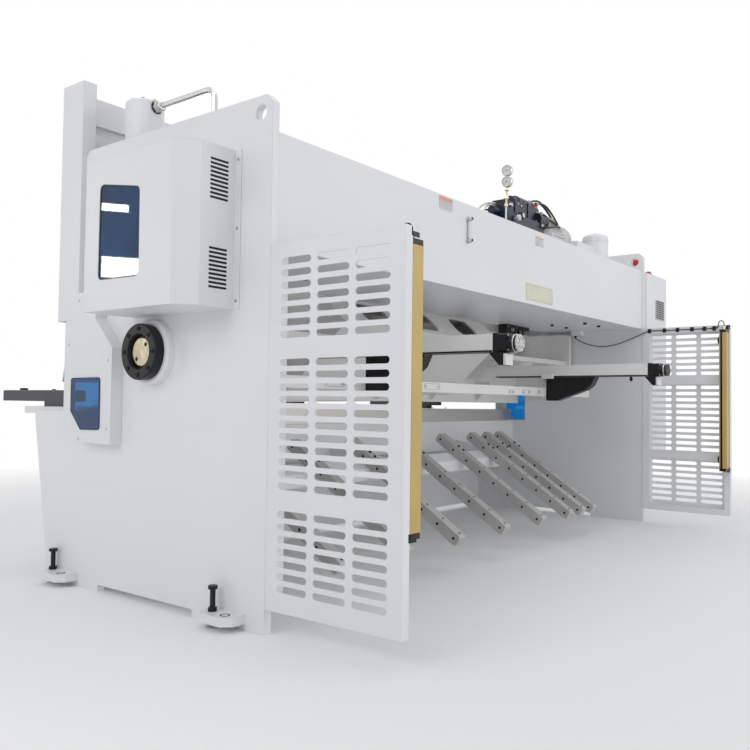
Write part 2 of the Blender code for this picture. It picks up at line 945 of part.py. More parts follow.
# Covers over the throats, with their windows
THROAT_OUTLINE = [
    (-0.995, 0.578),
    (-0.790, 0.577),
    (-0.790, 0.945),
    (-0.906, 1.063),
    (-0.906, 1.170),
    (-1.030, 1.170),
    (-1.0747, 1.112),
    (-1.0747, 1.064),
    (-1.115, 1.060),
    (-1.115, 0.660),
]
THROAT_INNER = [
    (-0.9935, 0.582),
    (-0.794, 0.581),
    (-0.794, 0.9435),
    (-0.910, 1.0615),
    (-0.910, 1.166),
    (-1.0285, 1.166),
    (-1.0707, 1.110),
    (-1.0707, 1.060),
    (-1.111, 1.0565),
    (-1.111, 0.662),
]
WINDOW_OUTLINE = [
    (-0.983, 0.640),
    (-0.870, 0.642),
    (-0.872, 0.823),
    (-1.0495, 0.8215),
    (-1.0487, 0.707),
]
WINDOW_PANE = [
    (-0.988, 0.629),
    (-0.860, 0.632),
    (-0.862, 0.833),
    (-1.0596, 0.8315),
    (-1.0585, 0.702),
]
for side_name, side in SIDES:
    throat = prism(
        "throat_cover_" + side_name,
        THROAT_OUTLINE,
        "X",
        *spread(side, HALF_WIDTH + GAP, HALF_WIDTH + 0.05),
        "cover_paint",
    )
    cut(
        throat,
        prism(
            "throat_hollow_" + side_name,
            THROAT_INNER,
            "X",
            *spread(side, HALF_WIDTH - 0.05, HALF_WIDTH + 0.05 - SHEET),
        ),
        prism(
            "throat_hole_" + side_name,
            rounded(WINDOW_OUTLINE, 0.012),
            "X",
            *spread(side, HALF_WIDTH - 0.05, HALF_WIDTH + 0.1),
        ),
    )
    prism(
        "throat_window_" + side_name,
        rounded(WINDOW_PANE, 0.012),
        "X",
        *spread(side, HALF_WIDTH + 0.05 + GAP, HALF_WIDTH + 0.0535),
        "window_blue",
    )

# Rear guards and their light curtains
SLOT_COLUMNS = ((0.051, 0.179), (0.204, 0.334), (0.358, 0.489))
SLOT_PITCH = 0.0392
FRAME_FRONT_Y = 0.047
FRAME_REAR_Y = GUARD_DEPTH - 0.034
SLOT_H = 0.022
for side_name, side in SIDES:
    guard = box(
        "rear_guard_" + side_name,
        spread(side, HALF_WIDTH - GUARD_T, HALF_WIDTH),
        (GAP, GUARD_DEPTH),
        (GUARD_LOW_Z, TANK_LOW_Z),
        "guard_paint",
    )
    hollows = []
    for z in ((GUARD_LOW_Z + 0.036, 0.416), (0.463, 0.890), (0.946, TANK_LOW_Z - 0.037)):
        hollows.append(
            (
                rectangle((FRAME_FRONT_Y, FRAME_REAR_Y), z),
                "X",
                *spread(side, HALF_WIDTH - 0.1, HALF_WIDTH - SHEET),
            )
        )
    cut(guard, many("guard_trays_" + side_name, hollows))
    slots = []
    for z0, z1 in ((0.158, 0.3932), (0.4813, 0.8733), (0.9623, 1.1975)):
        rows = int((z1 - z0) / SLOT_PITCH + 0.01) + 1
        for row in range(rows):
            for y0, y1 in SLOT_COLUMNS:
                z = z0 + SLOT_PITCH * row
                outline = rounded(
                    rectangle((y0, y1), (z - SLOT_H / 2, z + SLOT_H / 2)),
                    SLOT_H * 0.45,
                    2,
                )
                slots.append((outline, "X", *spread(side, HALF_WIDTH - 0.02, HALF_WIDTH + 0.02)))
    cut(guard, many("guard_slots_" + side_name, slots))
    box(
        "light_curtain_" + side_name,
        spread(side, HALF_WIDTH - GUARD_T - 0.060, HALF_WIDTH - GUARD_T - GAP),
        (GUARD_DEPTH - 0.048, GUARD_DEPTH - 0.004),
        (0.36, TANK_LOW_Z - 0.033),
        "curtain_yellow",
    )

# Back gauge arms hang under the beam's flanges on packers. The right one sits higher.
ARM_X = BOX_HALF + 0.135
ARM_HALF = 0.035
ARM_END_Y = 0.349
GAUGE_REAR_Y = -0.2675
for side_name, side in SIDES:
    x = side * ARM_X
    top = 1.0 + side * 0.0165
    low = top - ARM_H
    arm = box(
        "gauge_arm_" + side_name,
        (x - ARM_HALF, x + ARM_HALF),
        (-0.85, ARM_END_Y - 0.006 + side * 0.006),
        (low, top),
        "beam_paint",
        pivot=PIVOT,
    )
    weld(
        arm,
        box(
            "gauge_arm_packer_" + side_name,
            (x - ARM_HALF + 0.005, x + ARM_HALF - 0.005),
            (-0.83, -0.58),
            (top - 0.005, FLANGE_Z[0] - GAP),
            pivot=PIVOT,
        ),
    )
    end = ARM_END_Y - 0.006 + side * 0.006
    prism(
        "gauge_end_plate_" + side_name,
        [
            (end + GAP, top + 0.002),
            (end + GAP, low - GAP),
            (end - 0.018, low - GAP),
            (end + 0.026, low - 0.050),
            (end + 0.042, low - 0.050),
            (end + 0.042, low - 0.002),
            (end + 0.020, low - 0.002),
            (end + 0.020, top + 0.002),
        ],
        "X",
        x - ARM_HALF,
        x + ARM_HALF,
        "black_steel",
        pivot=PIVOT,
    )
    motor_y = end + 0.020 + GAP
    motor = prism(
        "gauge_motor_" + side_name,
        rounded(rectangle((x - 0.035, x + 0.035), (low, top)), 0.008, 2),
        "Y",
        motor_y,
        motor_y + 0.040,
        "black_steel",
        pivot=PIVOT,
    )
    weld(
        motor,
        revolve(
            "motor_body_" + side_name,
            [
                (0, motor_y + 0.03),
                (0.034, motor_y + 0.03),
                (0.034, motor_y + 0.060),
                (0.0315, motor_y + 0.062),
                (0.0315, motor_y + 0.077),
                (0.028, motor_y + 0.080),
                (0, motor_y + 0.080),
            ],
            "Y",
            (x, (top + low) / 2 - 0.002),
            steps=24,
            pivot=PIVOT,
        ),
    )
    prism(
        "gauge_slide_" + side_name,
        rounded(
            [
                (GAUGE_REAR_Y + GAP, 0.775),
                (-0.203, 0.775),
                (-0.024, low - 0.075),
                (0.010, low - 0.049),
                (0.034, low - 0.0008),
                (GAUGE_REAR_Y + GAP, low - 0.0008),
            ],
            [0.01, 0.02, 0.015, 0.015, 0, 0],
        ),
        "X",
        x - 0.03,
        x + 0.03,
        "black_steel",
        pivot=PIVOT,
    )
box(
    "gauge_beam",
    (-1.45, 1.45),
    (GAUGE_REAR_Y - 0.05, GAUGE_REAR_Y),
    (0.802, 0.8505),
    "beam_paint",
    pivot=PIVOT,
)

# Power unit on the tank
DECK_Z = TANK_TOP_Z - 0.001 + GAP
UNIT_Y = -0.30
unit = box(
    "pump_unit",
    (-0.72, -0.29),
    (UNIT_Y - 0.075, UNIT_Y + 0.065),
    (DECK_Z, DECK_Z + 0.16),
    "navy_paint",
)
weld(
    unit,
    box("valve_block_low", (-0.41, -0.30), (UNIT_Y - 0.04, UNIT_Y + 0.04), (DECK_Z + 0.15, DECK_Z + 0.228)),
    box("valve_block_high", (-0.69, -0.405), (UNIT_Y - 0.045, UNIT_Y + 0.045), (DECK_Z + 0.15, DECK_Z + 0.245)),
    revolve(
        "valve_coil",
        [
            (0, -0.685),
            (0.036, -0.685),
            (0.042, -0.678),
            (0.042, -0.47),
            (0.034, -0.46),
            (0.034, -0.42),
            (0, -0.42),
        ],
        "X",
        (UNIT_Y, DECK_Z + 0.243),
        steps=20,
    ),
    revolve(
        "spool_end",
        [(0, -0.32), (0.024, -0.32), (0.024, -0.222), (0.020, -0.216), (0, -0.216)],
        "X",
        (UNIT_Y, DECK_Z + 0.16),
        steps=16,
    ),
    revolve(
        "solenoid",
        [(0, -0.77), (0.038, -0.77), (0.043, -0.763), (0.043, -0.66), (0, -0.66)],
        "X",
        (UNIT_Y + 0.035, DECK_Z + 0.182),
        steps=20,
    ),
)
revolve(
    "pump_motor",
    [
        (0, -1.012),
        (0.088, -1.012),
        (0.102, -1.002),
        (0.102, -0.972),
        (0.078, -0.962),
        (0.078, -0.80),
        (0.040, -0.775),
        (0.040, -0.72 - GAP),
        (0, -0.72 - GAP),
    ],
    "X",
    (UNIT_Y, DECK_Z + 0.105),
    "beam_paint",
)
CAN_X = -HALF_WIDTH + 0.51
CAN_Y = -0.13
can = revolve(
    "filler_can",
    [
        (0, DECK_Z),
        (0.078, DECK_Z),
        (0.078, DECK_Z + 0.150),
        (0.072, DECK_Z + 0.158),
        (0.050, DECK_Z + 0.168),
        (0.026, DECK_Z + 0.173),
        (0, DECK_Z + 0.174),
    ],
    "Z",
    (CAN_X, CAN_Y),
    "cover_paint",
)
weld(
    can,
    box(
        "filler_block",
        (CAN_X + 0.05, CAN_X + 0.34),
        (CAN_Y - 0.035, CAN_Y + 0.035),
        (DECK_Z + 0.002, DECK_Z + 0.075),
    ),
)
OVER_THE_DECK = [
    (PORT_Y + GAP, PORT_Z),
    (-0.46, PORT_Z),
    (-0.46, TANK_TOP_Z - 0.0005),
]
BEHIND_THE_PORT = [
    (PORT_Y + GAP, PORT_Z),
    (-0.66, PORT_Z),
    (-0.66, TANK_TOP_Z - 0.0005),
]
for side_name, side, run in (("right", 1, OVER_THE_DECK), ("left", -1, BEHIND_THE_PORT)):
    pipe(
        "oil_pipe_" + side_name,
        fillet_path([(side * CYLINDER_X, y, z) for y, z in run], 0.05),
        0.011,
        "bright_steel",
    )


def through(points, steps):
    """A smooth line through the points."""
    knots = [Vector(point) for point in points]
    knots = [knots[0] * 2 - knots[1]] + knots + [knots[-1] * 2 - knots[-2]]
    made = []
    for a, b, c, d in zip(knots, knots[1:], knots[2:], knots[3:]):
        for k in range(steps):
            t = k / steps
            made.append(
                (
                    2 * b
                    + (c - a) * t
                    + (2 * a - 5 * b + 4 * c - d) * t**2
                    + (3 * b - a - 3 * c + d) * t**3
                )
                / 2
            )
    return [tuple(point) for point in made + [knots[-2]]]


# Cable of the left light curtain: out of a gland box under the tank, in a free bend to the
# rear guard, along the guard's top band and over into the curtain's cap
GLAND_Y = (-0.478, -0.410)
GLAND_LOW_Z = 1.227
CABLE_R = 0.003
CABLE_BEND = 0.02
CABLE_SAG = 0.080
GUARD_FACE_X = -HALF_WIDTH + GUARD_T
CURTAIN_TOP_Z = TANK_LOW_Z - 0.033
CABLE_Z = TANK_LOW_Z - 0.018
gland_x = -INNER + 0.035
clip_x = GUARD_FACE_X + CABLE_R + 0.0009
curtain_x = GUARD_FACE_X + 0.03
weld(
    tank,
    box(
        "cable_gland",
        (gland_x - 0.034, gland_x + 0.022),
        GLAND_Y,
        (GLAND_LOW_Z, TANK_LOW_Z + 0.005),
    ),
)


def arc(count, last):
    """Sines and cosines at even steps from no angle to this one, in degrees."""
    angles = [math.radians(last * k / count) for k in range(count + 1)]
    return [(math.sin(a), math.cos(a)) for a in angles]


start_y = -0.455
start_z = GLAND_LOW_Z - 0.007
out_of_gland = [(gland_x, start_y, GLAND_LOW_Z - GAP)]
for sine, cosine in arc(5, 60):
    out_of_gland.append(
        (gland_x, start_y + CABLE_BEND * (1 - cosine), start_z - CABLE_BEND * sine)
    )
hanging = through(
    [
        out_of_gland[-1],
        (gland_x, -0.410, GLAND_LOW_Z - 0.043),
        (gland_x, -0.352, GLAND_LOW_Z - 0.065),
        (gland_x - 0.002, -0.269, GLAND_LOW_Z - CABLE_SAG),
        (gland_x - 0.005, -0.177, GLAND_LOW_Z - 0.070),
        (gland_x - 0.011, -0.091, GLAND_LOW_Z - 0.042),
        (clip_x + 0.006, -0.020, GLAND_LOW_Z - 0.012),
        (clip_x + 0.0005, 0.047, CABLE_Z - 0.0005),
        (clip_x, 0.143, CABLE_Z),
    ],
    4,
)
rise_y = 0.455
cap_y = rise_y + 3 * CABLE_BEND
rise = []
for sine, cosine in arc(5, 90):
    rise.append((clip_x, rise_y + CABLE_BEND * sine, CABLE_Z + CABLE_BEND * (1 - cosine)))
over = []
for sine, cosine in arc(12, 180)[1:]:
    over.append(
        (
            (clip_x + curtain_x) / 2 - (curtain_x - clip_x) / 2 * cosine,
            rise_y + 2 * CABLE_BEND - CABLE_BEND * cosine,
            CABLE_Z + CABLE_BEND + 1.2 * CABLE_BEND * sine,
        )
    )
cable = out_of_gland + hanging[1:] + [(clip_x, 0.3, CABLE_Z)] + rise + over
cable.append((curtain_x, cap_y, CURTAIN_TOP_Z + GAP))
pipe("curtain_cable_left", cable, CABLE_R, "black_rubber")

# Electric cabinet on the left end
box(
    "electric_cabinet",
    (-LEFT_REACH, -HALF_WIDTH - GAP),
    (-0.43, 0.015),
    (0.45, 1.632),
    "cover_paint",
)
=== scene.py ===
"""Looks of the hydraulic swing-beam shear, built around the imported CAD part."""

import json
import math

import bmesh
import bpy
from mathutils import Matrix, Vector


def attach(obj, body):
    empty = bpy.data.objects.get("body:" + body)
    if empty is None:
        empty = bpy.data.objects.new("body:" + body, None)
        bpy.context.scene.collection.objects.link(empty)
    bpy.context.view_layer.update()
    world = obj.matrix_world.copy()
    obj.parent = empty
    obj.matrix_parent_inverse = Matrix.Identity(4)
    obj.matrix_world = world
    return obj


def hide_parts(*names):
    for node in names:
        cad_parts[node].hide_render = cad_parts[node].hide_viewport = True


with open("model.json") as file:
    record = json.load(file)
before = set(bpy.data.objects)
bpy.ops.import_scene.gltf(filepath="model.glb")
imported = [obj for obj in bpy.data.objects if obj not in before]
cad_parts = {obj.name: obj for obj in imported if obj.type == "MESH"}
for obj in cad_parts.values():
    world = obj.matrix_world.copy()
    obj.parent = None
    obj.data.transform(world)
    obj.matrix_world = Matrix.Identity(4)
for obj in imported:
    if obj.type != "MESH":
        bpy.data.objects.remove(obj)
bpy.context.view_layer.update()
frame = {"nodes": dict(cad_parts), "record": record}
nodes = frame["nodes"]

# Machine coordinates, in metres: X from the middle plane, Y from the side plates' rear edge
# with the rear positive, Z from the floor.
SHIFT = Vector((0.0825, 0.6445, 0))
SIDES = (("right", 1), ("left", -1))
RIGHT, LEFT = (1, 0, 0), (-1, 0, 0)
REAR, FRONT = (0, 1, 0), (0, -1, 0)
UP, DOWN = (0, 0, 1), (0, 0, -1)

HALF = 1.72  # X of the side plates' outer face
PIVOT = (-0.597, 0.923)  # Y and Z of the pivot pins
CYLINDER_X, CYLINDER_Y, PORT_Z = 1.575, -0.89, 1.929
TANK_LOW, TANK_TOP, TANK_BACK = 1.258, 1.641, -0.012
DECK = 1.6403  # top of the tank's lid, where the power unit stands
UNIT_Y = -0.30
MOTOR = (UNIT_Y, DECK + 0.105)  # Y and Z of the pump motor's axis
CAN = (-1.21, -0.13)
BARS_X = (1.31, 0.91, 0.51, 0.10, -0.29, -0.62, -0.79, -0.94)
BEAM_BACK = -0.8990
ARM_X, GAUGE_Y = 0.855, -0.2675
TABLE_ARMS_X, TABLE_ARM_TOP = (1.62, 0.25, -1.15), 0.7851
CABINET_FACE = -2.10


def at(x, y, z):
    """A point in machine coordinates, moved to the frame's."""
    return Vector((x, y, z)) + SHIFT


# ---------------------------------------------------------------- materials

def shader(name):
    made = bpy.data.materials.new(name)
    made.use_nodes = True
    return made, made.node_tree, made.node_tree.nodes["Principled BSDF"]


def node(tree, kind, **values):
    """A new shader node. An underscore in a value's name stands for a space."""
    made = tree.nodes.new("ShaderNode" + kind)
    for name, value in values.items():
        made.inputs[name.replace("_", " ")].default_value = value
    return made


def link(tree, out, into):
    tree.links.new(out, into)


def noise(tree, scale, detail, stretch):
    place = node(tree, "TexCoord")
    mapping = node(tree, "Mapping", Scale=stretch)
    made = node(tree, "TexNoise", Scale=scale, Detail=detail, Roughness=0.55)
    link(tree, place.outputs["Object"], mapping.inputs["Vector"])
    link(tree, mapping.outputs["Vector"], made.inputs["Vector"])
    return made.outputs["Fac"]


def ramp(tree, source, low, high):
    made = node(tree, "ValToRGB")
    for stop, place, colour in zip(made.color_ramp.elements, (0.35, 0.65), (low, high)):
        stop.position = place
        stop.color = (*colour, 1)
    link(tree, source, made.inputs["Fac"])
    return made.outputs["Color"]


def shade(colour, factor):
    return tuple(min(1.0, c * factor) for c in colour)


MATERIALS = {}


def finish(name, colour, rough, vary, scale, grain=420, bump=0.05, edge=0.0025, metallic=0.0,
           coat=0.0, spread=0.06, stretch=(1, 1, 1), gloss=0.5, through=0.0):
    """Adds to MATERIALS: cloudy colour, uneven gloss, a fine texture and softened edges."""
    MATERIALS[name], tree, bsdf = shader(name)
    tones = ramp(tree, noise(tree, scale, 5, stretch),
                 shade(colour, 1 - vary), shade(colour, 1 + vary / 2))
    link(tree, tones, bsdf.inputs["Base Color"])
    worn = node(tree, "MapRange", To_Min=rough - spread, To_Max=rough + spread)
    link(tree, noise(tree, scale * 4, 6, stretch), worn.inputs["Value"])
    link(tree, worn.outputs["Result"], bsdf.inputs["Roughness"])
    relief = node(tree, "Bump", Strength=bump, Distance=0.0006)
    link(tree, noise(tree, grain, 2, stretch), relief.inputs["Height"])
    if edge:
        soft = node(tree, "Bevel", Radius=edge)
        soft.samples = 4
        link(tree, soft.outputs["Normal"], relief.inputs["Normal"])
    link(tree, relief.outputs["Normal"], bsdf.inputs["Normal"])
    bsdf.inputs["Metallic"].default_value = metallic
    bsdf.inputs["Coat Weight"].default_value = coat
    bsdf.inputs["Coat Roughness"].default_value = 0.12
    bsdf.inputs["Specular IOR Level"].default_value = gloss
    bsdf.inputs["Transmission Weight"].default_value = through


BLACK = (0.012, 0.012, 0.013)
PANE = {"grain": 60, "bump": 0.01, "edge": 0.001, "spread": 0.015}
# Name, colour, roughness, share by which the tone varies, scale of the clouds
finish("frame_paint", (0.80, 0.81, 0.83), 0.38, 0.035, 0.9, coat=0.15)
finish("cover_paint", (0.79, 0.80, 0.82), 0.42, 0.03, 1.3, grain=520, bump=0.07)
finish("guard_paint", (0.79, 0.80, 0.825), 0.45, 0.03, 2.0, grain=600, bump=0.06, edge=0.0015)
finish("beam_paint", (0.79, 0.79, 0.775), 0.45, 0.06, 1.4)
finish("bar_paint", (0.50, 0.50, 0.485), 0.42, 0.12, 6.0, metallic=0.15)
finish("slate_paint", (0.045, 0.055, 0.06), 0.5, 0.15, 5.0, bump=0.12)
finish("black_steel", (0.009, 0.009, 0.011), 0.36, 0.25, 8.0, edge=0.0015, gloss=0.3)
finish("navy_paint", (0.006, 0.012, 0.038), 0.30, 0.25, 9.0, edge=0.002, coat=0.15, gloss=0.4)
finish("tool_steel", (0.64, 0.62, 0.59), 0.34, 0.06, 3.0, metallic=0.8, stretch=(1, 20, 20))
finish("brass", (0.62, 0.55, 0.39), 0.33, 0.35, 22.0, edge=0.001, metallic=0.9)
finish("bright_steel", (0.60, 0.59, 0.57), 0.24, 0.06, 12.0, edge=0, metallic=1.0)
finish("curtain_yellow", (0.56, 0.40, 0.13), 0.42, 0.06, 5.0, edge=0.0015)
finish("black_rubber", BLACK, 0.55, 0.2, 60.0, grain=900, bump=0.1, edge=0)
finish("window_blue", (0.008, 0.16, 0.46), 0.03, 0.15, 3.0, gloss=0.13, through=0.9, **PANE)
finish("window_dark", (0.003, 0.045, 0.14), 0.02, 0.5, 3.0, gloss=0.27, **PANE)
finish("rubber", BLACK, 0.55, 0.2, 20.0, grain=300, bump=0.1, edge=0)
# Near black: painted shade in holes, slots, sockets, vents and louvres; also the print of dial
# and scale ticks, the gauge needles and the dark seams between sheets.
finish("painted_recess_shade_seams_and_print", (0.006, 0.006, 0.007), 0.8, 0.1, 20.0, edge=0)
finish("zinc", (0.55, 0.55, 0.53), 0.34, 0.12, 18.0, edge=0.0008, metallic=1.0)
finish("red", (0.50, 0.015, 0.012), 0.3, 0.1, 20.0, edge=0.0008, coat=0.4)
finish("grey_plastic", (0.42, 0.43, 0.45), 0.4, 0.08, 12.0, edge=0.0008)
finish("motor_grey", (0.56, 0.57, 0.58), 0.42, 0.06, 9.0, edge=0.001, metallic=0.3)
finish("dial", (0.74, 0.74, 0.72), 0.35, 0.04, 30.0, edge=0, coat=0.5)
finish("pale_plate", (0.70, 0.68, 0.56), 0.4, 0.05, 8.0, edge=0.0005)
finish("orange_plate", (0.76, 0.34, 0.20), 0.4, 0.08, 8.0, edge=0.0005)
finish("label_grey", (0.56, 0.57, 0.59), 0.42, 0.10, 20.0, edge=0.0005)
finish("beige", (0.50, 0.45, 0.34), 0.45, 0.1, 10.0, edge=0.0015)

SLOTS = {part["node"]: part["material_slot"] for part in frame["record"]["subparts"]}
for name, solid in nodes.items():
    solid.data.materials.clear()
    solid.data.materials.append(MATERIALS[SLOTS[name]])


# ---------------------------------------------------------------- camera

def camera():
    """The camera that was fitted to the photo."""
    yaw, pitch, roll = (math.radians(a) for a in (51.9511, 1.9752, 0.7503))
    level = math.cos(pitch)
    forward = Vector((-math.sin(yaw) * level, -math.cos(yaw) * level, math.sin(pitch)))
    right = Vector((-math.cos(yaw), math.sin(yaw), 0))
    up = right.cross(forward)
    across = math.cos(roll) * right + math.sin(roll) * up
    above = -math.sin(roll) * right + math.cos(roll) * up
    data = bpy.data.cameras.new("photo_camera")
    data.sensor_width = 36
    data.lens = 805.918 / 750 * data.sensor_width
    data.clip_start = 0.05
    made = bpy.data.objects.new("photo_camera", data)
    turned = Matrix((across, above, -forward)).transposed().to_4x4()
    made.matrix_world = Matrix.Translation((3.638, 2.5178, 0.749)) @ turned
    bpy.context.scene.collection.objects.link(made)
    bpy.context.scene.camera = made


camera()


# ---------------------------------------------------------------- shapes

class Work:
    """Collects solids of one finish in one mesh, in machine coordinates."""

    ORDER = {"X": (2, 0, 1), "Y": (0, 2, 1), "Z": (0, 1, 2)}

    def __init__(self):
        self.mesh = bmesh.new()

    def loop(self, outline, axis, level):
        """New points. The outline is in (y, z) for X, (x, z) for Y and (x, y) for Z."""
        return [self.mesh.verts.new(at(*((u, v, level)[i] for i in self.ORDER[axis])))
                for u, v in outline]

    def round(self, centre, way, radius, steps):
        """New points on a circle round the way."""
        first = way.orthogonal().normalized()
        second = way.cross(first)
        return [self.mesh.verts.new(centre + first * u + second * v)
                for u, v in spots(0, 0, radius, steps)]

    def join(self, one, two):
        for i in range(len(one)):
            j = (i + 1) % len(one)
            self.mesh.faces.new((one[i], one[j], two[j], two[i]))

    def skin(self, rings):
        """A closed tube over the rings of points."""
        for one, two in zip(rings, rings[1:]):
            self.join(one, two)
        self.mesh.faces.new(rings[0][::-1])
        self.mesh.faces.new(rings[-1])
        return self

    def prism(self, outline, axis, low, high):
        return self.skin([self.loop(outline, axis, level) for level in (low, high)])

    def ring(self, outer, inner, axis, low, high):
        """A flat frame between two outlines with as many points."""
        loops = [self.loop(outline, axis, level) for outline, level in
                 ((outer, low), (outer, high), (inner, high), (inner, low))]
        for one, two in zip(loops, loops[1:] + loops[:1]):
            self.join(one, two)
        return self

    def box(self, x, y, z):
        return self.prism(rectangle(x, y), "Z", *z)

    def lathe(self, profile, start, along, steps=24):
        """Turns (radius, distance from start) pairs and closes both ends on the axis."""
        along = Vector(along).normalized()
        ends = [(0, profile[0][1])], [(0, profile[-1][1])] if profile[-1][0] else []
        rings = [self.round(at(*start) + along * level, along, radius, steps if radius else 1)
                 for radius, level in (*ends[0], *profile, *ends[1])]
        for k in range(steps):
            j = (k + 1) % steps
            self.mesh.faces.new((rings[0][0], rings[1][k], rings[1][j]))
            self.mesh.faces.new((rings[-2][k], rings[-1][0], rings[-2][j]))
        for one, two in zip(rings[1:-1], rings[2:-1]):
            self.join(one, two)
        return self

    def rod(self, start, along, length, radius, steps=16, chamfer=0.0):
        profile = [(radius, 0), (radius, length - chamfer)]
        if chamfer:
            profile.append((radius - chamfer, length))
        return self.lathe(profile, start, along, steps)

    def drum(self, start, along, length, radius, neck, rise, steps):
        """A rod that narrows to the neck radius over the rise at both ends."""
        profile = [(neck, 0), (radius, rise), (radius, length - rise), (neck, length)]
        return self.lathe(profile, start, along, steps)

    def screw(self, start, along, radius):
        """A flat round screw head."""
        return self.rod(start, along, 0.0028, radius, 16, 0.001)

    def bolt(self, start, along, radius, height, socket=False):
        """A hexagon head on a washer, or a round head where it has a socket."""
        if socket:
            return self.rod(start, along, height, radius, 18, radius * 0.12)
        washer = height * 0.2
        self.rod(start, along, washer, radius * 1.25, 18)
        profile = [(radius, washer), (radius, height * 0.92), (radius * 0.9, height)]
        return self.lathe(profile, start, along, 6)

    def bar(self, points, radius, steps=10):
        """A round line through the points, such as a bent pipe."""
        path = [at(*p) for p in points]
        rings = []
        for i, point in enumerate(path):
            way = (path[min(i + 1, len(path) - 1)] - path[max(i - 1, 0)]).normalized()
            up = Vector(UP) if abs(way.z) < 0.9 else Vector(REAR)
            first = way.cross(up).normalized()
            second = way.cross(first)
            rings.append([self.mesh.verts.new(point + first * u + second * v)
                          for u, v in spots(0, 0, radius, steps)])
        return self.skin(rings)

    def weld(self, start, end, radius, seed):
        """A welded seam: a line of overlapping small swells, 9 mm apart."""
        start, end = Vector(start), Vector(end)
        way = (end - start).normalized()
        count = max(4, int((end - start).length / 0.009))
        rings = []
        for k in range(count + 1):
            swell = 1 + 0.16 * math.sin(2.4 * k * seed) + 0.12 * math.sin(5.1 * k + seed)
            rings.append(self.round(at(*start.lerp(end, k / count)), way, radius * swell, 8))
        return self.skin(rings)

    def done(self, name, material, body="frame", slot=None, bevel=0.0, smooth=35.0):
        """Ends the mesh: an object with its finish and body. The slot argument is not used."""
        bmesh.ops.recalc_face_normals(self.mesh, faces=self.mesh.faces)
        data = bpy.data.meshes.new(name)
        self.mesh.to_mesh(data)
        self.mesh.free()
        made = bpy.data.objects.new(name, data)
        bpy.context.scene.collection.objects.link(made)
        data.materials.append(MATERIALS[material])
        if bevel:
            step = made.modifiers.new("edges", "BEVEL")
            step.width = bevel
            step.segments = 2
            step.limit_method = "ANGLE"
        data.shade_smooth()
        data.set_sharp_from_angle(angle=math.radians(smooth))
        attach(made, body)
        return made


def spots(u, v, radius, count, turn=0.0):
    """Points spread evenly over a circle, the first one at the angle turn."""
    angles = [turn + 2 * math.pi * k / count for k in range(count)]
    return [(u + radius * math.cos(a), v + radius * math.sin(a)) for a in angles]


def spoke(u, v, angle, near, far, half):
    """A thin bar that lies on a circle's radius."""
    along = Vector((math.cos(angle), math.sin(angle)))
    aside = Vector((-along.y, along.x)) * half
    return [tuple(Vector((u, v)) + along * r + aside * s)
            for r, s in ((near, -1), (far, -1), (far, 1), (near, 1))]


def span(side, near, far):
    """The stretch of X between two distances from the middle plane."""
    return sorted((side * near, side * far))


def through(points, steps):
    """A smooth line through the points."""
    knots = [Vector(point) for point in points]
    knots = [knots[0] * 2 - knots[1]] + knots + [knots[-1] * 2 - knots[-2]]
    made = []
    for a, b, c, d in zip(knots, knots[1:], knots[2:], knots[3:]):
        for k in range(steps):
            t = k / steps
            made.append((2 * b + (c - a) * t + (2 * a - 5 * b + 4 * c - d) * t * t
                         + (3 * b - a - 3 * c + d) * t ** 3) / 2)
    return [tuple(point) for point in made + [knots[-2]]]


def rectangle(u, v):
    return [(u[0], v[0]), (u[1], v[0]), (u[1], v[1]), (u[0], v[1])]


def rounded(points, radius, steps=4):
    """The outline with each corner replaced by a small arc."""
    made = []
    for i, corner in enumerate(points):
        here = Vector(corner)
        back = (Vector(points[i - 1]) - here).normalized()
        ahead = (Vector(points[(i + 1) % len(points)]) - here).normalized()
        half = back.angle(ahead) / 2
        centre = here + (back + ahead).normalized() * radius / math.sin(half)
        first = here + back * radius / math.tan(half) - centre
        last = here + ahead * radius / math.tan(half) - centre
        start = math.atan2(first.y, first.x)
        turn = (math.atan2(last.y, last.x) - start + math.pi) % (2 * math.pi) - math.pi
        for k in range(steps + 1):
            angle = start + turn * k / steps
            made.append(tuple(centre + Vector((math.cos(angle), math.sin(angle))) * radius))
    return made


def panel(u, v, radius, steps=4):
    """A rectangle with rounded corners."""
    return rounded(rectangle(u, v), radius, steps)


def inset(points, distance):
    """The convex outline moved inwards. The points run counterclockwise."""
    made = []
    for i, corner in enumerate(points):
        here = Vector(corner)
        back = (here - Vector(points[i - 1])).normalized()
        ahead = (Vector(points[(i + 1) % len(points)]) - here).normalized()
        inward = Vector((-back.y - ahead.y, back.x + ahead.x)).normalized()
        made.append(tuple(here + inward * distance / inward.dot(Vector((-back.y, back.x)))))
    return made


# ---------------------------------------------------------------- cable of the left light curtain

def arc(count, last):
    """Sine and cosine from 0 to the last angle, in degrees."""
    angles = [math.radians(last * k / count) for k in range(count + 1)]
    return [(math.sin(a), math.cos(a)) for a in angles]


# The gland under the tank, whose X is also that of the curtain's gland, and the clips
GLAND_X, GLAND_Y, CLIP_X, CABLE_Z = -1.655, -0.455, -1.6811, 1.240
MIDDLE_X, REACH_X = (CLIP_X + GLAND_X) / 2, (GLAND_X - CLIP_X) / 2
route = [(GLAND_X, GLAND_Y, 1.2267)]
route += [(GLAND_X, GLAND_Y + 0.02 * (1 - c), 1.220 - 0.02 * s) for s, c in arc(5, 60)]
route += through([route[-1], (GLAND_X, -0.410, 1.184), (GLAND_X, -0.352, 1.162),
                  (GLAND_X - 0.002, -0.269, 1.147), (GLAND_X - 0.005, -0.177, 1.157),
                  (GLAND_X - 0.011, -0.091, 1.185), (CLIP_X + 0.006, -0.020, 1.215),
                  (CLIP_X + 0.0005, 0.047, 1.2395), (CLIP_X, 0.143, 1.240)], 4)[1:]
route += [(CLIP_X, 0.3, CABLE_Z)]
route += [(CLIP_X, 0.455 + 0.02 * s, CABLE_Z + 0.02 * (1 - c)) for s, c in arc(5, 90)]
route += [(MIDDLE_X - REACH_X * c, 0.495 - 0.02 * c, 1.260 + 0.024 * s)
          for s, c in arc(12, 180)[1:]]
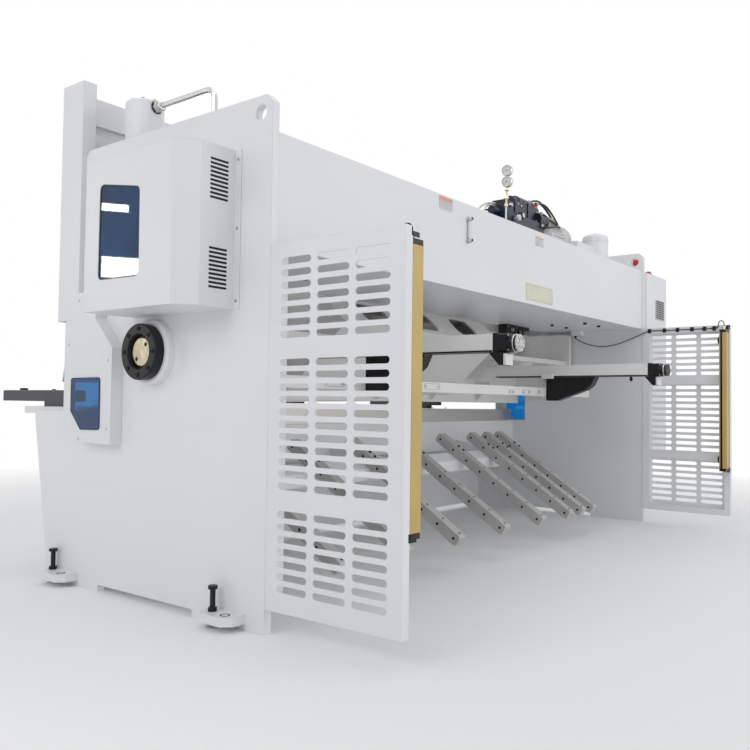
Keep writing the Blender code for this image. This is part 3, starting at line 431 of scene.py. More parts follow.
route += [(GLAND_X, 0.515, 1.2253)]
curve = bpy.data.curves.new("curtain_lead", "CURVE")
curve.dimensions = "3D"
curve.bevel_depth = 0.003
curve.bevel_resolution = 4
curve.use_fill_caps = True
line = curve.splines.new("POLY")
line.points.add(len(route) - 1)
for place, point in zip(line.points, route):
    place.co = (*at(*point), 1)
curve.materials.append(MATERIALS["black_rubber"])
lead = bpy.data.objects.new("curtain_lead", curve)
bpy.context.scene.collection.objects.link(lead)
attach(lead, "frame")
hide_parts("curtain_cable_left")

relief = Work()
relief.lathe([(0.0095, 0), (0.0095, -0.005), (0.0075, -0.0065), (0.0045, -0.019)],
             (GLAND_X, GLAND_Y, 1.2268), UP, 18)
relief = relief.done("lead_relief", "black_rubber")

clips = Work()
for y in (0.047, 0.143, 0.226, 0.316, 0.392, 0.450):
    clips.prism(panel((y - 0.010, y + 0.010), (1.227, 1.253), 0.003), "X", -1.6848, -1.6745)
clips.done("lead_clips", "black_steel", bevel=0.001)

# ---------------------------------------------------------------- light curtains

for name, side in SIDES:
    caps = Work()
    for z in ((1.208, 1.2256), (0.3594, 0.377)):
        caps.prism(panel(span(side, 1.6244, 1.6849), (0.4925, 0.5375), 0.006), "Z", *z)
    caps.prism(rectangle((0.5000, 0.5125), (0.377, 1.208)), "X", side * 1.6241, side * 1.6254)
    for low, high in ((1.229, 1.256), (0.352, 0.379)):
        caps.box(span(side, 1.6843, 1.6912), (0.519, 0.541), (low, high))
        caps.box(span(side, 1.650, 1.6845), (0.5372, 0.5405), (low, high - 0.012))
    caps.done("curtain_caps_" + name, "black_steel", bevel=0.0012)
    groove = Work().box(span(side, 1.6788, 1.6812), (0.5366, 0.5374), (0.378, 1.207))
    groove.done("curtain_grooves_" + name, "rubber")
    gland = Work().bolt((side * 1.655, 0.515, 1.2254), UP, 0.0125, 0.009)
    gland.lathe([(0.0105, 0), (0.0105, 0.010), (0.0075, 0.016)],
                (side * 1.655, 0.515, 1.233), UP, 20)
    gland.done("curtain_gland_" + name, "zinc")
    brackets = Work()
    for z in (0.43, 1.16):
        brackets.prism(panel(span(side, 1.618, 1.6849), (0.4865, 0.4925), 0.002, 2),
                       "Z", z - 0.02, z + 0.02)
        for x in (1.638, 1.670):
            brackets.bolt((side * x, 0.4866, z), FRONT, 0.0055, 0.005)
    brackets.done("curtain_brackets_" + name, "black_steel", bevel=0.0008)
elbow = Work().bar(through([(1.655, 0.515, 1.246), (1.655, 0.515, 1.262), (1.660, 0.508, 1.272),
                            (1.668, 0.494, 1.268), (1.672, 0.488, 1.252),
                            (1.672, 0.487, 1.2405)], 4), 0.0035)
elbow.done("curtain_elbow_right", "black_steel")

# ---------------------------------------------------------------- pivots

for name, side in SIDES:
    out = (side, 0, 0)
    face = side * (HALF + 0.0733)
    # The sockets are dark hexagons in the bolt heads: painted shade.
    heads, sockets = Work(), Work()
    for y, z in spots(*PIVOT, 0.0835, 8):
        heads.ring(spots(y, z, 0.0085, 18), spots(y, z, 0.0048, 18), "X",
                   face - side * 0.001, face + side * 0.0036)
        sockets.rod((face, y, z), out, 0.0016, 0.0052, 6)
    heads.done("flange_bolts_" + name, "black_steel", bevel=0.0006)
    sockets.done("flange_socket_shade_" + name, "painted_recess_shade_seams_and_print")
    # Dark discs: painted shade in the two holes of each pin.
    dark = Work()
    for k in (-1, 1):
        spot = (side * (HALF + 0.0588), PIVOT[0] + 0.0262 * k, PIVOT[1] + 0.0262 * k)
        dark.rod(spot, out, 0.0006, 0.0078, 18)
    dark.done("pin_bore_shade_" + name, "painted_recess_shade_seams_and_print")
    turned = Work()
    for r in (0.0165, 0.034, 0.047):
        turned.ring(spots(*PIVOT, r + 0.0006, 48), spots(*PIVOT, r, 48), "X",
                    side * (HALF + 0.0589), side * (HALF + 0.0592))
    turned.done("pin_turning_" + name, "brass")

# ---------------------------------------------------------------- levelling bolts and feet

for name, side in SIDES:
    bolts, pads, anchors = Work(), Work(), Work()
    for out, y in ((0.036, -0.207), (0.024, -1.205)):
        x = side * (HALF + out)
        bolts.rod((x, y, 0.007), UP, 0.119, 0.009, 20)
        for turn in range(22):
            bolts.lathe([(0.0088, 0), (0.0098, 0.0012), (0.0088, 0.0024)],
                        (x, y, 0.069 + 0.0025 * turn), UP, 16)
        bolts.lathe([(0.0175, 0), (0.0175, 0.0105), (0.016, 0.012)], (x, y, 0.125), UP, 6)
        bolts.lathe([(0.016, 0), (0.0165, 0.001), (0.0165, 0.012), (0.015, 0.0135)],
                    (x, y, 0.0521), UP, 6)
        pads.lathe([(0.024, 0), (0.024, 0.003), (0.012, 0.008), (0.0092, 0.012)],
                   (x, y, 0.0006), UP)
    bolts.done("levelling_bolts_" + name, "black_steel")
    pads.done("levelling_pads_" + name, "zinc")
    # Dark rings: painted shade in the anchor holes of the feet.
    for y in (-1.110, -0.135):
        spot = (side * (HALF + 0.045), y)
        anchors.ring(spots(*spot, 0.017, 20), spots(*spot, 0.0125, 20), "Z", 0.0516, 0.0528)
    anchors.done("foot_anchor_shade_" + name, "painted_recess_shade_seams_and_print")

# ---------------------------------------------------------------- side cover

# The slots of the screws are dark bars: painted shade.
screws, slots = Work(), Work()
for z in (1.565, 1.330, 1.085):
    screws.screw((HALF + 0.0033, -0.1575, z), RIGHT, 0.0058)
    slots.box((HALF + 0.0060, HALF + 0.0064), (-0.1595, -0.1555), (z - 0.0006, z + 0.0006))
screws.done("cover_flange_screws", "zinc")
slots.done("cover_screw_slot_shade", "painted_recess_shade_seams_and_print")
# Dark inserts behind the louvre slots: painted shade.
louvres = Work()
for z0 in (1.120, 1.416):
    for k in range(10):
        z = z0 + 0.0142 * k
        louvres.prism(panel((HALF + 0.0335, HALF + 0.1105), (z - 0.0008, z + 0.0068), 0.0018, 2),
                      "Y", -0.1734, -0.1727)
louvres.done("cover_louvre_shade", "painted_recess_shade_seams_and_print")
WINDOW = [(-0.642, 1.167), (-0.404, 1.1635), (-0.4075, 1.467), (-0.640, 1.5085)]
rim = Work().ring(rounded(inset(WINDOW, 0.0003), 0.0197), rounded(inset(WINDOW, 0.0045), 0.016),
                  "X", 1.9309, 1.9322)
rim.done("window_rim", "rubber")

# ---------------------------------------------------------------- throat covers

THROAT = [(-0.988, 0.629), (-0.860, 0.632), (-0.862, 0.833), (-1.0596, 0.8315), (-1.0585, 0.702)]
for name, side in SIDES:
    screws = Work()
    for y, z in ((-0.815, 0.898), (-0.817, 0.636), (-1.004, 0.593), (-1.086, 0.965),
                 (-1.020, 1.140)):
        screws.screw((side * (HALF + 0.0500), y, z), (side, 0, 0), 0.0052)
    screws.done("throat_screws_" + name, "zinc")
    edge = Work().ring(rounded(inset(THROAT, -0.0004), 0.012),
                       rounded(inset(THROAT, 0.0022), 0.011),
                       "X", *span(side, HALF + 0.0502, HALF + 0.0538))
    edge.done("throat_pane_edge_" + name, "window_dark")

# ---------------------------------------------------------------- cylinders, ports and pipes

for name, side in SIDES:
    x = side * CYLINDER_X
    pipe_y = -0.46 if side > 0 else -0.66
    fit = Work().drum((x, -0.8085, PORT_Z), REAR, 0.0135, 0.0258, 0.0245, 0.0015, 6)
    fit.lathe([(0.0195, 0), (0.0205, 0.002), (0.0205, 0.016), (0.018, 0.019), (0.0135, 0.021)],
              (x, -0.7945, PORT_Z), REAR)
    fit.lathe([(0.021, 0), (0.021, 0.013), (0.0195, 0.0145)], (x, pipe_y, 1.6402), UP, 6)
    fit.lathe([(0.0165, 0), (0.0165, 0.012), (0.0125, 0.016)], (x, pipe_y, 1.6547), UP, 20)
    fit.done("pipe_fittings_" + name, "zinc", bevel=0.0006)
    seal = Work().rod((x, -0.8125, PORT_Z), REAR, 0.0035, 0.0268, 24)
    seal.done("port_washer_" + name, "rubber")
    cap = Work()
    for u, v in spots(x, CYLINDER_Y, 0.058, 8):
        cap.bolt((u, v, 1.9599), UP, 0.0065, 0.005, True)
    for u, v in spots(x, CYLINDER_Y, 0.0915, 8):
        cap.bolt((u, v, 1.4199), UP, 0.0085, 0.009)
    cap.done("cylinder_bolts_" + name, "black_steel")
    wiper = Work().rod((x, CYLINDER_Y, 1.2812), UP, 0.004, 0.0355, 28)
    wiper.done("rod_wiper_" + name, "rubber")

# ---------------------------------------------------------------- oil tank

def plate(name, material, x, z, thick=0.0006, lift=0.0, radius=0.003):
    """A blank plate on the tank's rear face."""
    low = TANK_BACK + lift
    Work().prism(panel(x, z, radius, 3), "Y", low, low + thick).done(name, material)


plate("tank_plate_grey", "label_grey", (0.614, 0.721), (1.583, 1.635))
plate("tank_plate_band", "orange_plate", (0.6155, 0.7195), (1.6185, 1.6335),
      thick=0.0003, lift=0.0006, radius=0.002)
plate("small_plate", "label_grey", (-0.26, -0.169), (1.564, 1.613))
plate("small_plate_band", "orange_plate", (-0.258, -0.171), (1.6065, 1.6115),
      thick=0.0003, lift=0.0006, radius=0.001)
plate("pale_plate", "pale_plate", (-0.37, -0.068), (1.276, 1.362), thick=0.0012)
rules = Work()
for z in (1.6075, 1.5775):
    rules.box((0.625, 0.710), (TANK_BACK + 0.0006, TANK_BACK + 0.0008), (z, z + 0.0015))
rules.done("tank_plate_rules", "grey_plastic")
outline = rectangle((-0.366, -0.072), (1.280, 1.358))
border = Work().ring(outline, inset(outline, 0.0022), "Y", TANK_BACK + 0.0011, TANK_BACK + 0.0014)
border.done("pale_plate_border", "bar_paint")
rivets = Work()
for x, z in rectangle((-0.36, -0.078), (1.286, 1.352)):
    rivets.rod((x, TANK_BACK + 0.0012, z), REAR, 0.0012, 0.0028, 14, 0.0008)
rivets.done("plate_rivets", "zinc")

# Level gauge
LEVEL_X = 0.487
ends, marks = Work(), Work()
for z in (1.478, 1.575):
    ends.lathe([(0.0150, 0), (0.0150, 0.003), (0.0115, 0.004), (0.0115, 0.016), (0.0085, 0.019),
                (0.0085, 0.024)], (LEVEL_X, TANK_BACK, z), REAR)
    marks.rod((LEVEL_X, TANK_BACK + 0.0238, z), REAR, 0.0012, 0.0066, 6)
    marks.rod((LEVEL_X - 0.0125, TANK_BACK + 0.004, z + 0.004), REAR, 0.006, 0.0055, 12)
ends.done("level_gauge_ends", "zinc")
tube = Work().box((LEVEL_X - 0.0075, LEVEL_X + 0.0075), (TANK_BACK + 0.004, TANK_BACK + 0.015),
                  (1.487, 1.566))
tube.done("level_gauge_tube", "dial", bevel=0.003)
marks.done("level_gauge_sockets", "black_steel")

under = Work()
for x, y in ((-1.142, -0.384), (-1.333, -0.375), (-1.133, -0.161), (-1.341, -0.159)):
    for way in (1, -1):
        under.bolt((way * x, y, TANK_LOW), DOWN, 0.0100, 0.011)
under.done("tank_bolts", "black_steel")
lid = Work()
for k in range(1, 14):
    for y in (-0.036, -0.684):
        lid.bolt((-1.62 + 3.24 * k / 14, y, TANK_TOP - 0.0012), UP, 0.0085, 0.0075)
lid.done("lid_bolts", "zinc")
Work().bolt((1.32, -0.60, TANK_LOW), DOWN, 0.016, 0.010).done("tank_drain", "zinc")

# Welds: start and end in (y, z), radius
WELD_X, WELD_Z, WELD_Y = 1.6895, TANK_LOW - 0.0003, TANK_BACK + 0.0003
SEAMS = (
    ((WELD_Y, TANK_LOW + 0.002), (WELD_Y, TANK_TOP - 0.002), 0.0045),
    ((-0.03, WELD_Z), (-0.40, WELD_Z), 0.004),
    ((-0.49, WELD_Z), (-0.68, WELD_Z), 0.004),
    ((-0.9603, 0.46), (-0.9603, 0.63), 0.004),
    ((-0.999, 1.3597), (-0.777, 1.3597), 0.004),
)
welds = Work()
for x in (WELD_X, -WELD_X):
    for seed, (start, end, radius) in enumerate(SEAMS, 1):
        welds.weld((x, *start), (x, *end), radius, seed)
welds.weld((WELD_X, -0.5785, 0.39), (WELD_X, -0.5785, 0.46), 0.004, 6)
for x in (-0.86, 0.30, 1.10):
    for edge in (-0.0103, 0.0103):
        welds.weld((x + edge, -0.9598, 0.455), (x + edge, -0.9598, 0.485), 0.003, 7)
welds.done("frame_welds", "frame_paint", slot="frame_paint", smooth=60)

welds = Work()
for k in range(-2, 3):
    for x in (0.54 * k - 0.0103, 0.54 * k + 0.0103):
        welds.weld((x, BEAM_BACK, 0.78), (x, BEAM_BACK, 0.86), 0.003, k + 4)
for side in (1, -1):
    x, z = side * 0.7203, 1.0525
    welds.weld((x, BEAM_BACK, 0.82), (x, BEAM_BACK, 1.24), 0.004, 9)
    welds.weld((side * 0.81, BEAM_BACK, z), (side * 1.61, BEAM_BACK, z), 0.004, 10)
welds.done("beam_welds", "beam_paint", "blade_beam", slot="beam_paint", smooth=60)

# ---------------------------------------------------------------- slide bars

slope = Vector((0.644, -0.418)).normalized()
normal = Vector((-slope.y, slope.x))
# Dark discs on the bars' faces: painted shade in the holes.
holes, pins = Work(), Work()
for x in BARS_X:
    for k in range(8):
        y, z = -0.042 - 0.0857 * k, 0.159 + 0.0556 * k
        holes.rod((x + 0.0256, y, z), RIGHT, 0.0008, 0.0068, 14)
        holes.rod((x - 0.0256, y, z), LEFT, 0.0008, 0.0068, 14)
        holes.rod((x, *(Vector((y, z)) + normal * 0.0256)), (0, *normal), 0.0008, 0.0062, 14)
    for d in (0.135, 0.172):
        pins.bolt((x, *(Vector((-0.650, 0.585)) + slope * d)), (0, *normal), 0.007, 0.006, True)
holes.done("slide_bar_bore_shade", "painted_recess_shade_seams_and_print")
pins.done("slide_bar_screws", "black_steel")

# ---------------------------------------------------------------- blade beam

for name, side in SIDES:
    boss = Work().lathe([(0.098, 0), (0.092, -0.010), (0.062, -0.034), (0.054, -0.040)],
                        (side * 1.15, -0.625, 1.0222), UP, 32)
    boss.done("flange_boss_" + name, "beam_paint", "blade_beam", bevel=0.002)
    stud = Work()
    stud.bolt((side * 1.15, -0.625, 0.9822), DOWN, 0.015, 0.020)
    stud.bolt((side * 0.83, -0.560, 1.0222), DOWN, 0.009, 0.009)
    for y in (-0.820, -0.700):
        stud.bolt((side * 0.88, y, 1.0521), UP, 0.010, 0.010)
    stud.done("flange_studs_" + name, "black_steel", "blade_beam")

# Limit switches under the tank, behind the blade beam
switch = Work()
switch.box((-1.095, -0.945), (-0.66, -0.60), (1.190, 1.2578))
switch.box((-1.270, -1.135), (-0.65, -0.61), (1.236, 1.2578))
switch.box((-1.150, -1.130), (-0.65, -0.61), (1.205, 1.240))
switch.rod((-1.215, -0.63, 1.238), DOWN, 0.055, 0.007, 14, 0.002)
switch.done("limit_switches", "black_steel", bevel=0.003)
gland = Work().bolt((-1.02, -0.601, 1.225), REAR, 0.010, 0.012)
for x in (-1.075, -0.965):
    gland.rod((x, -0.599, 1.245), REAR, 0.002, 0.004, 12)
gland.done("limit_switch_gland", "zinc")

# ---------------------------------------------------------------- back gauge

for name, side in SIDES:
    x = side * ARM_X
    end = 0.343 + side * 0.006
    top = 1.0 + side * 0.0165
    low = top - 0.07
    middle = (top + low) / 2
    start, centre = end + 0.0203, middle - 0.002
    ring = Work().drum((x, start + 0.0595, centre), REAR, 0.0045, 0.0350, 0.0342, 0.001, 36)
    ring.done("motor_ring_" + name, "bright_steel", "blade_beam")
    face = Work().lathe([(0.0322, 0), (0.0328, 0.001), (0.0328, 0.0065), (0.030, 0.0095),
                         (0.024, 0.0098), (0.0235, 0.0086), (0.012, 0.0086), (0.0115, 0.0098)],
                        (x, start + 0.0720, centre), REAR, 36)
    face.done("motor_face_" + name, "motor_grey" if side > 0 else "slate_paint", "blade_beam")
    # Dark dots and bars on the motor's face and flange: painted shade in its holes and slots.
    dots = Work()
    for u, v in spots(x, centre, 0.0272, 4, math.pi / 4):
        dots.rod((u, start + 0.0812, v), REAR, 0.0010, 0.0026, 12)
    for u, v in spots(x, centre, 0.029, 4, math.pi / 4):
        dots.rod((u, start - 0.0001, v), REAR, 0.0005, 0.0030, 12)
    for k in range(8):
        dots.prism(spoke(x, centre, math.pi * k / 4, 0.0145, 0.0215, 0.0016),
                   "Y", start + 0.0804, start + 0.0810)
    dots.done("motor_slot_shade_" + name, "painted_recess_shade_seams_and_print", "blade_beam")
    screws = Work()
    for u, v in rectangle((x - 0.027, x + 0.027), (middle - 0.027, middle + 0.027)):
        screws.bolt((u, start + 0.0400, v), REAR, 0.0042, 0.004, True)
    screws.done("motor_screws_" + name, "zinc", "blade_beam")
    block = Work().box((x - 0.026, x + 0.030), (end + 0.0422, end + 0.0545),
                       (low - 0.049, low - 0.006))
    block.done("motor_bracket_" + name, "beam_paint", "blade_beam", bevel=0.002)
    rail = Work().box((x - 0.030, x + 0.030), (-0.60, end - 0.02), (low - 0.0005, low + 0.0004))
    for edge in (x - 0.0356, x + 0.0350):
        rail.box((edge, edge + 0.0006), (-0.60, end - 0.001), (low + 0.0004, low + 0.0075))
    rail.done("gauge_rail_" + name, "black_steel", "blade_beam")
    if side < 0:
        nut = Work().lathe([(0.006, 0), (0.009, -0.012), (0.009, -0.018), (0.004, -0.027)],
                           (x, 0.232, low), UP, 16)
        nut.done("rail_stop_left", "black_steel", "blade_beam")
    catch = Work()
    catch.box(span(side, ARM_X - 0.0372, ARM_X - 0.058), (-0.288, -0.214),
              (low - 0.010, low + 0.022))
    catch.box(span(side, ARM_X - 0.046, ARM_X - 0.092), (GAUGE_Y, GAUGE_Y + 0.006),
              (0.797, 0.853))
    catch.done("gauge_catch_" + name, "beam_paint", "back_gauge", bevel=0.003)
    jaws = Work()
    for y in (-0.235, -0.120, -0.020):
        for z in (low - 0.018, low - 0.040):
            for way in (-1, 1):
                jaws.bolt((x + way * 0.0300, y, z), (way, 0, 0), 0.0062, 0.004, True)
    jaws.done("saddle_screws_" + name, "black_steel", "back_gauge")

# Slots of the gauge beam with one or two screws each
GAUGE_SLOTS = (
    ((0.312, 0.448), (0.815, 0.844)), ((-0.429, -0.365), (0.806, 0.832)),
    ((-0.620, -0.522), (0.808, 0.835)), ((-0.745, -0.712), (0.812, 0.838)),
    ((1.02, 1.15), (0.812, 0.840)), ((-1.15, -1.02), (0.812, 0.840)),
)
marks, screws = Work(), Work()
for x, z in GAUGE_SLOTS:
    outline = rectangle(x, z)
    r = (z[1] - z[0]) * 0.44
    marks.ring(rounded(outline, r), rounded(inset(outline, 0.0018), r - 0.0018),
               "Y", GAUGE_Y, GAUGE_Y + 0.0008)
    for place in (x[0] + 0.016, x[1] - 0.016) if x[1] - x[0] > 0.06 else (sum(x) / 2,):
        screws.bolt((place, GAUGE_Y, sum(z) / 2), REAR, 0.0065, 0.004, True)
marks.done("gauge_beam_slots", "grey_plastic", "back_gauge")
screws.done("gauge_beam_screws", "zinc", "back_gauge")
stops = Work().box((-1.45, 1.45), (GAUGE_Y - 0.0525, GAUGE_Y - 0.050), (0.812, 0.842))
stops.done("gauge_beam_face", "tool_steel", "back_gauge", bevel=0.0008)

# ---------------------------------------------------------------- power unit

fins = Work()
for k in range(24):
    angle = 2 * math.pi * (k + 0.5) / 24
    if math.sin(angle) < 0.8:
        fins.prism(spoke(*MOTOR, angle, 0.0775, 0.0850, 0.0014), "X", -0.958, -0.812)
fins.lathe([(0.1030, 0), (0.1042, 0.001), (0.1042, 0.037), (0.1015, 0.042)],
           (-0.972, *MOTOR), LEFT, 40)
fins.done("motor_fins", "motor_grey", bevel=0.0004)
# Dark rings on the fan cover: painted shade in its vents.
vents = Work()
for r in (0.030, 0.046, 0.062, 0.078):
    vents.ring(spots(*MOTOR, r + 0.005, 40), spots(*MOTOR, r, 40), "X", -1.0146, -1.0139)
vents.done("fan_vent_shade", "painted_recess_shade_seams_and_print")
terminal = Work()
terminal.box((-0.888, -0.778), (-0.350, -0.252), (1.800, 1.852))
terminal.box((-0.890, -0.776), (-0.352, -0.250), (1.8535, 1.8655))
terminal.done("motor_terminal_box", "beige", bevel=0.004)
LINES = (
    [(-0.690, -0.285, 1.921), (-0.740, -0.275, 1.932), (-0.793, -0.272, 1.918),
     (-0.869, -0.272, 1.884), (-0.945, -0.275, 1.852), (-0.985, -0.290, 1.8485)],
    [(-0.640, -0.300, 1.925), (-0.735, -0.292, 1.950), (-0.800, -0.290, 1.943),
     (-0.885, -0.290, 1.910), (-0.955, -0.292, 1.866), (-0.990, -0.305, 1.8500)],
    [(-0.665, -0.262, 1.916), (-0.760, -0.256, 1.925), (-0.835, -0.254, 1.902),
     (-0.905, -0.256, 1.868), (-0.960, -0.262, 1.842)],
    [(-0.680, -0.236, 1.858), (-0.725, -0.232, 1.853), (-0.783, -0.235, 1.841),
     (-0.875, -0.240, 1.832), (-0.950, -0.245, 1.822)],
    [(-0.668, -0.226, 1.785), (-0.720, -0.214, 1.780), (-0.784, -0.214, 1.793),
     (-0.875, -0.225, 1.815), (-0.940, -0.240, 1.8215)],
)
lines, ends = Work(), Work()
for points in LINES:
    lines.bar(through(points, 5), 0.0056)
    for tip, before, back, radius, height in ((0, 1, 0.2, 0.0085, 0.016),
                                              (-1, -2, 0.3, 0.0080, 0.014)):
        way = Vector(points[tip]) - Vector(points[before])
        ends.bolt(Vector(points[tip]) - way * back, way, radius, height)
lines.done("pump_lines", "black_steel", smooth=60)
ends.done("pump_line_nuts", "zinc")
PIPES = (
    [(-0.062, -0.30, 1.6404), (-0.062, -0.30, 1.735), (-0.081, -0.30, 1.775),
     (-0.145, -0.30, 1.813), (-0.206, -0.30, 1.833), (-0.262, -0.30, 1.838),
     (-0.305, -0.30, 1.838)],
    [(-0.134, -0.30, 1.6404), (-0.136, -0.30, 1.735), (-0.146, -0.30, 1.779),
     (-0.165, -0.30, 1.804), (-0.205, -0.30, 1.822), (-0.245, -0.30, 1.826),
     (-0.305, -0.30, 1.826)],
    [(-0.175, -0.33, 1.6404), (-0.178, -0.33, 1.74), (-0.190, -0.33, 1.785),
     (-0.215, -0.33, 1.802), (-0.305, -0.325, 1.806)],
)
pipes = Work()
for points in PIPES:
    pipes.bar(through(points, 5), 0.0058)
    pipes.bolt(points[0], UP, 0.0105, 0.012)
pipes.done("pump_pipes", "bright_steel", smooth=60)
COIL_Z = DECK + 0.243
coil = Work().drum((-0.646, UNIT_Y, COIL_Z), LEFT, 0.038, 0.0436, 0.0428, 0.001, 32)
coil.done("coil_cap", "red")
bands = Work()
for x in (-0.63, -0.575, -0.52, -0.475):
    bands.drum((x, UNIT_Y, COIL_Z), RIGHT, 0.0075, 0.0440, 0.0426, 0.0015, 32)
bands.drum((-0.752, UNIT_Y + 0.035, DECK + 0.182), RIGHT, 0.013, 0.0446, 0.0435, 0.001, 32)
bands.box((-0.562, -0.548), (UNIT_Y - 0.05, UNIT_Y + 0.05), (DECK + 0.150, DECK + 0.252))
bands.done("coil_bands", "navy_paint", bevel=0.001)
steel = Work()
for x, z in ((-0.660, 1.862), (-0.470, 1.862), (-0.660, 1.812), (-0.432, 1.866)):
    steel.bolt((x, UNIT_Y + 0.0450, z), REAR, 0.006, 0.005, True)
steel.lathe([(0.012, 0), (0.012, 0.018), (0.009, 0.022)], (-0.345, -0.262, 1.842), REAR, 6)
steel.done("valve_screws", "zinc")

# Pressure gauges on their stem
STEM_Y = -0.200
stem = Work().drum((-0.201, STEM_Y, 1.796), UP, 0.016, 0.0105, 0.009, 0.003, 12)
stem.bar([(-0.206, STEM_Y, 1.832), (-0.208, STEM_Y, 1.87), (-0.2165, -0.203, 1.91),
          (-0.2165, -0.203, 1.985)], 0.0055)
stem.bolt((-0.205, STEM_Y, 1.838), UP, 0.0105, 0.014)
stem.bolt((-0.210, STEM_Y, 1.884), UP, 0.0095, 0.012)
stem.done("gauge_stem", "brass")
riser = Work()
riser.bar([(-0.201, STEM_Y, 1.6404), (-0.201, STEM_Y, 1.74), (-0.203, STEM_Y, 1.838)], 0.0050, 12)
riser.bolt((-0.201, STEM_Y, 1.6404), UP, 0.012, 0.012)
riser.done("gauge_riser", "dial")
cases, dials, ticks = Work(), Work(), Work()
x = -0.226
for z in (1.992, 1.932):
    cases.lathe([(0.026, 0), (0.0298, 0.004), (0.0298, 0.022), (0.0285, 0.0245),
                 (0.0262, 0.0245), (0.0258, 0.0205)], (x, STEM_Y, z), RIGHT, 36)
    dials.rod((x + 0.0206, STEM_Y, z), RIGHT, 0.0004, 0.0257, 36)
    for k in range(11):
        ticks.prism(spoke(STEM_Y, z, math.radians(-45 + 27 * k), 0.018, 0.0232, 0.0006),
                    "X", x + 0.0210, x + 0.0213)
    needle = spoke(STEM_Y, z, 3.6, -0.006, 0, 0.0009)
    ticks.prism([needle[0], *spots(STEM_Y, z, 0.019, 1, 3.6), needle[3]],
                "X", x + 0.0214, x + 0.0218)
    ticks.rod((x + 0.0210, STEM_Y, z), RIGHT, 0.0016, 0.0028, 14)
cases.done("pressure_gauges", "bright_steel")
dials.done("gauge_dials", "dial")
ticks.done("gauge_ticks", "painted_recess_shade_seams_and_print")

knob = Work().lathe([(0.008, 0), (0.008, 0.014), (0.020, 0.016), (0.0212, 0.019),
                     (0.0212, 0.036), (0.0195, 0.040)], (-0.428, -0.255, 1.796), REAR, 28)
knob.done("valve_knob", "black_steel")
cream = Work().lathe([(0.0135, 0), (0.0135, 0.0010), (0.0125, 0.0018)],
                     (-0.428, -0.2150, 1.796), REAR)
cream.done("valve_knob_centre", "pale_plate")
grey = Work().lathe([(0.0075, 0), (0.0075, 0.010), (0.0165, 0.012), (0.0175, 0.014),
                     (0.0175, 0.028), (0.016, 0.031)], (-0.366, -0.235, 1.771), REAR)
grey.done("valve_knob_small", "motor_grey")
can = Work().drum((*CAN, DECK + 0.122), UP, 0.015, 0.0805, 0.0795, 0.001, 40)
can.rod((*CAN, DECK + 0.0002), UP, 0.006, 0.0850, 40)
can.rod((*CAN, DECK + 0.1735), UP, 0.006, 0.012, 20, 0.002)
can.done("filler_can_bands", "cover_paint", slot="cover_paint")
base = Work()
for x, y in spots(*CAN, 0.0815, 6, 0.3):
    base.bolt((x, y, DECK + 0.006), UP, 0.004, 0.003)
for x in (-1.02, -0.90):
    base.bolt((x, CAN[1], DECK + 0.0752), UP, 0.009, 0.008)
base.done("filler_screws", "zinc")

# ---------------------------------------------------------------- front

screws = Work()
for k in range(5):
    for z in (1.095, 2.025):
        screws.screw((-1.68 + 0.84 * k, -1.2231, z), FRONT, 0.006)
screws.done("front_cover_screws", "zinc")
COVER_Z = (1.069, 2.048)
seams, folded = Work(), Work()
for x in (-0.57, 0.57):
    seams.box((x - 0.0008, x + 0.0008), (-1.2234, -1.2228), COVER_Z)
    for edge in (x - 0.009, x + 0.001):
        folded.box((edge, edge + 0.008), (-1.2248, -1.2230), COVER_Z)
seams.done("front_cover_seams", "painted_recess_shade_seams_and_print")
folded.box((-1.7359, 1.7359), (-1.098, -1.082), (1.878, 1.888))
folded.box((-1.7359, 1.7359), (-1.0985, -1.0965), (1.850, 1.888))
strip = Work().box((1.30, 1.70), (-1.0825, -1.0795), (1.8795, 1.8865))
strip.done("cover_light_strip", "dial", bevel=0.001)
folded.done("front_cover_ribs", "cover_paint", slot="cover_paint", bevel=0.0008)
guard = Work()
for k in range(9):
    guard.bolt((-1.6 + 0.4 * k, -1.2282, 1.085), FRONT, 0.0075, 0.006)
guard.done("finger_guard_bolts", "zinc")

balls = Work()
for k in range(9):
    for y in (-1.38, -1.50):
        balls.lathe([(0.020, 0), (0.020, 0.0012), (0.014, 0.0018), (0.0125, 0.0018),
                     (0.012, 0.0040), (0.009, 0.0072), (0.005, 0.0090), (0, 0.0094)],
                    (-1.45 + 0.3625 * k, y, 0.7150), UP, 28)
balls.done("table_balls", "bright_steel")
# Dark strips along the arms: painted shade in their slots. The ticks are print.
slotted, scales, ticks, feet = Work(), Work(), Work(), Work()
for x in TABLE_ARMS_X:
    slotted.box((x - 0.006, x + 0.006), (-1.815, -1.335), (0.7851, 0.7856))
    scales.box((x + 0.010, x + 0.026), (-1.820, -1.250), (0.7850, 0.7862))
    for k in range(112):
        y = -1.815 + 0.005 * k
        reach = 0.011 if k % 10 == 0 else 0.008 if k % 5 == 0 else 0.005
        ticks.box((x + 0.026 - reach, x + 0.0255), (y - 0.0002, y + 0.0002), (0.7861, 0.7864))
    for y in (-1.445, -1.345):
        feet.bolt((x, y, TABLE_ARM_TOP), UP, 0.0085, 0.006, True)
    feet.lathe([(0.016, 0), (0.018, 0.004), (0.018, 0.010), (0, 0.012)],
               (x, -1.70, TABLE_ARM_TOP), UP)
slotted.done("arm_slot_shade", "painted_recess_shade_seams_and_print")
scales.done("arm_scales", "zinc")
ticks.done("arm_ticks", "painted_recess_shade_seams_and_print")
feet.done("arm_screws", "black_steel")
apron = Work()
for x in (-1.1, 0.0, 1.1):
    outline = rectangle((x - 0.42, x + 0.42), (0.10, 0.48))
    apron.ring(rounded(outline, 0.03), rounded(inset(outline, 0.0025), 0.0275),
               "Y", -1.2626, -1.2618)
apron.done("bed_panel_seams", "grey_plastic")

# ---------------------------------------------------------------- electric cabinet

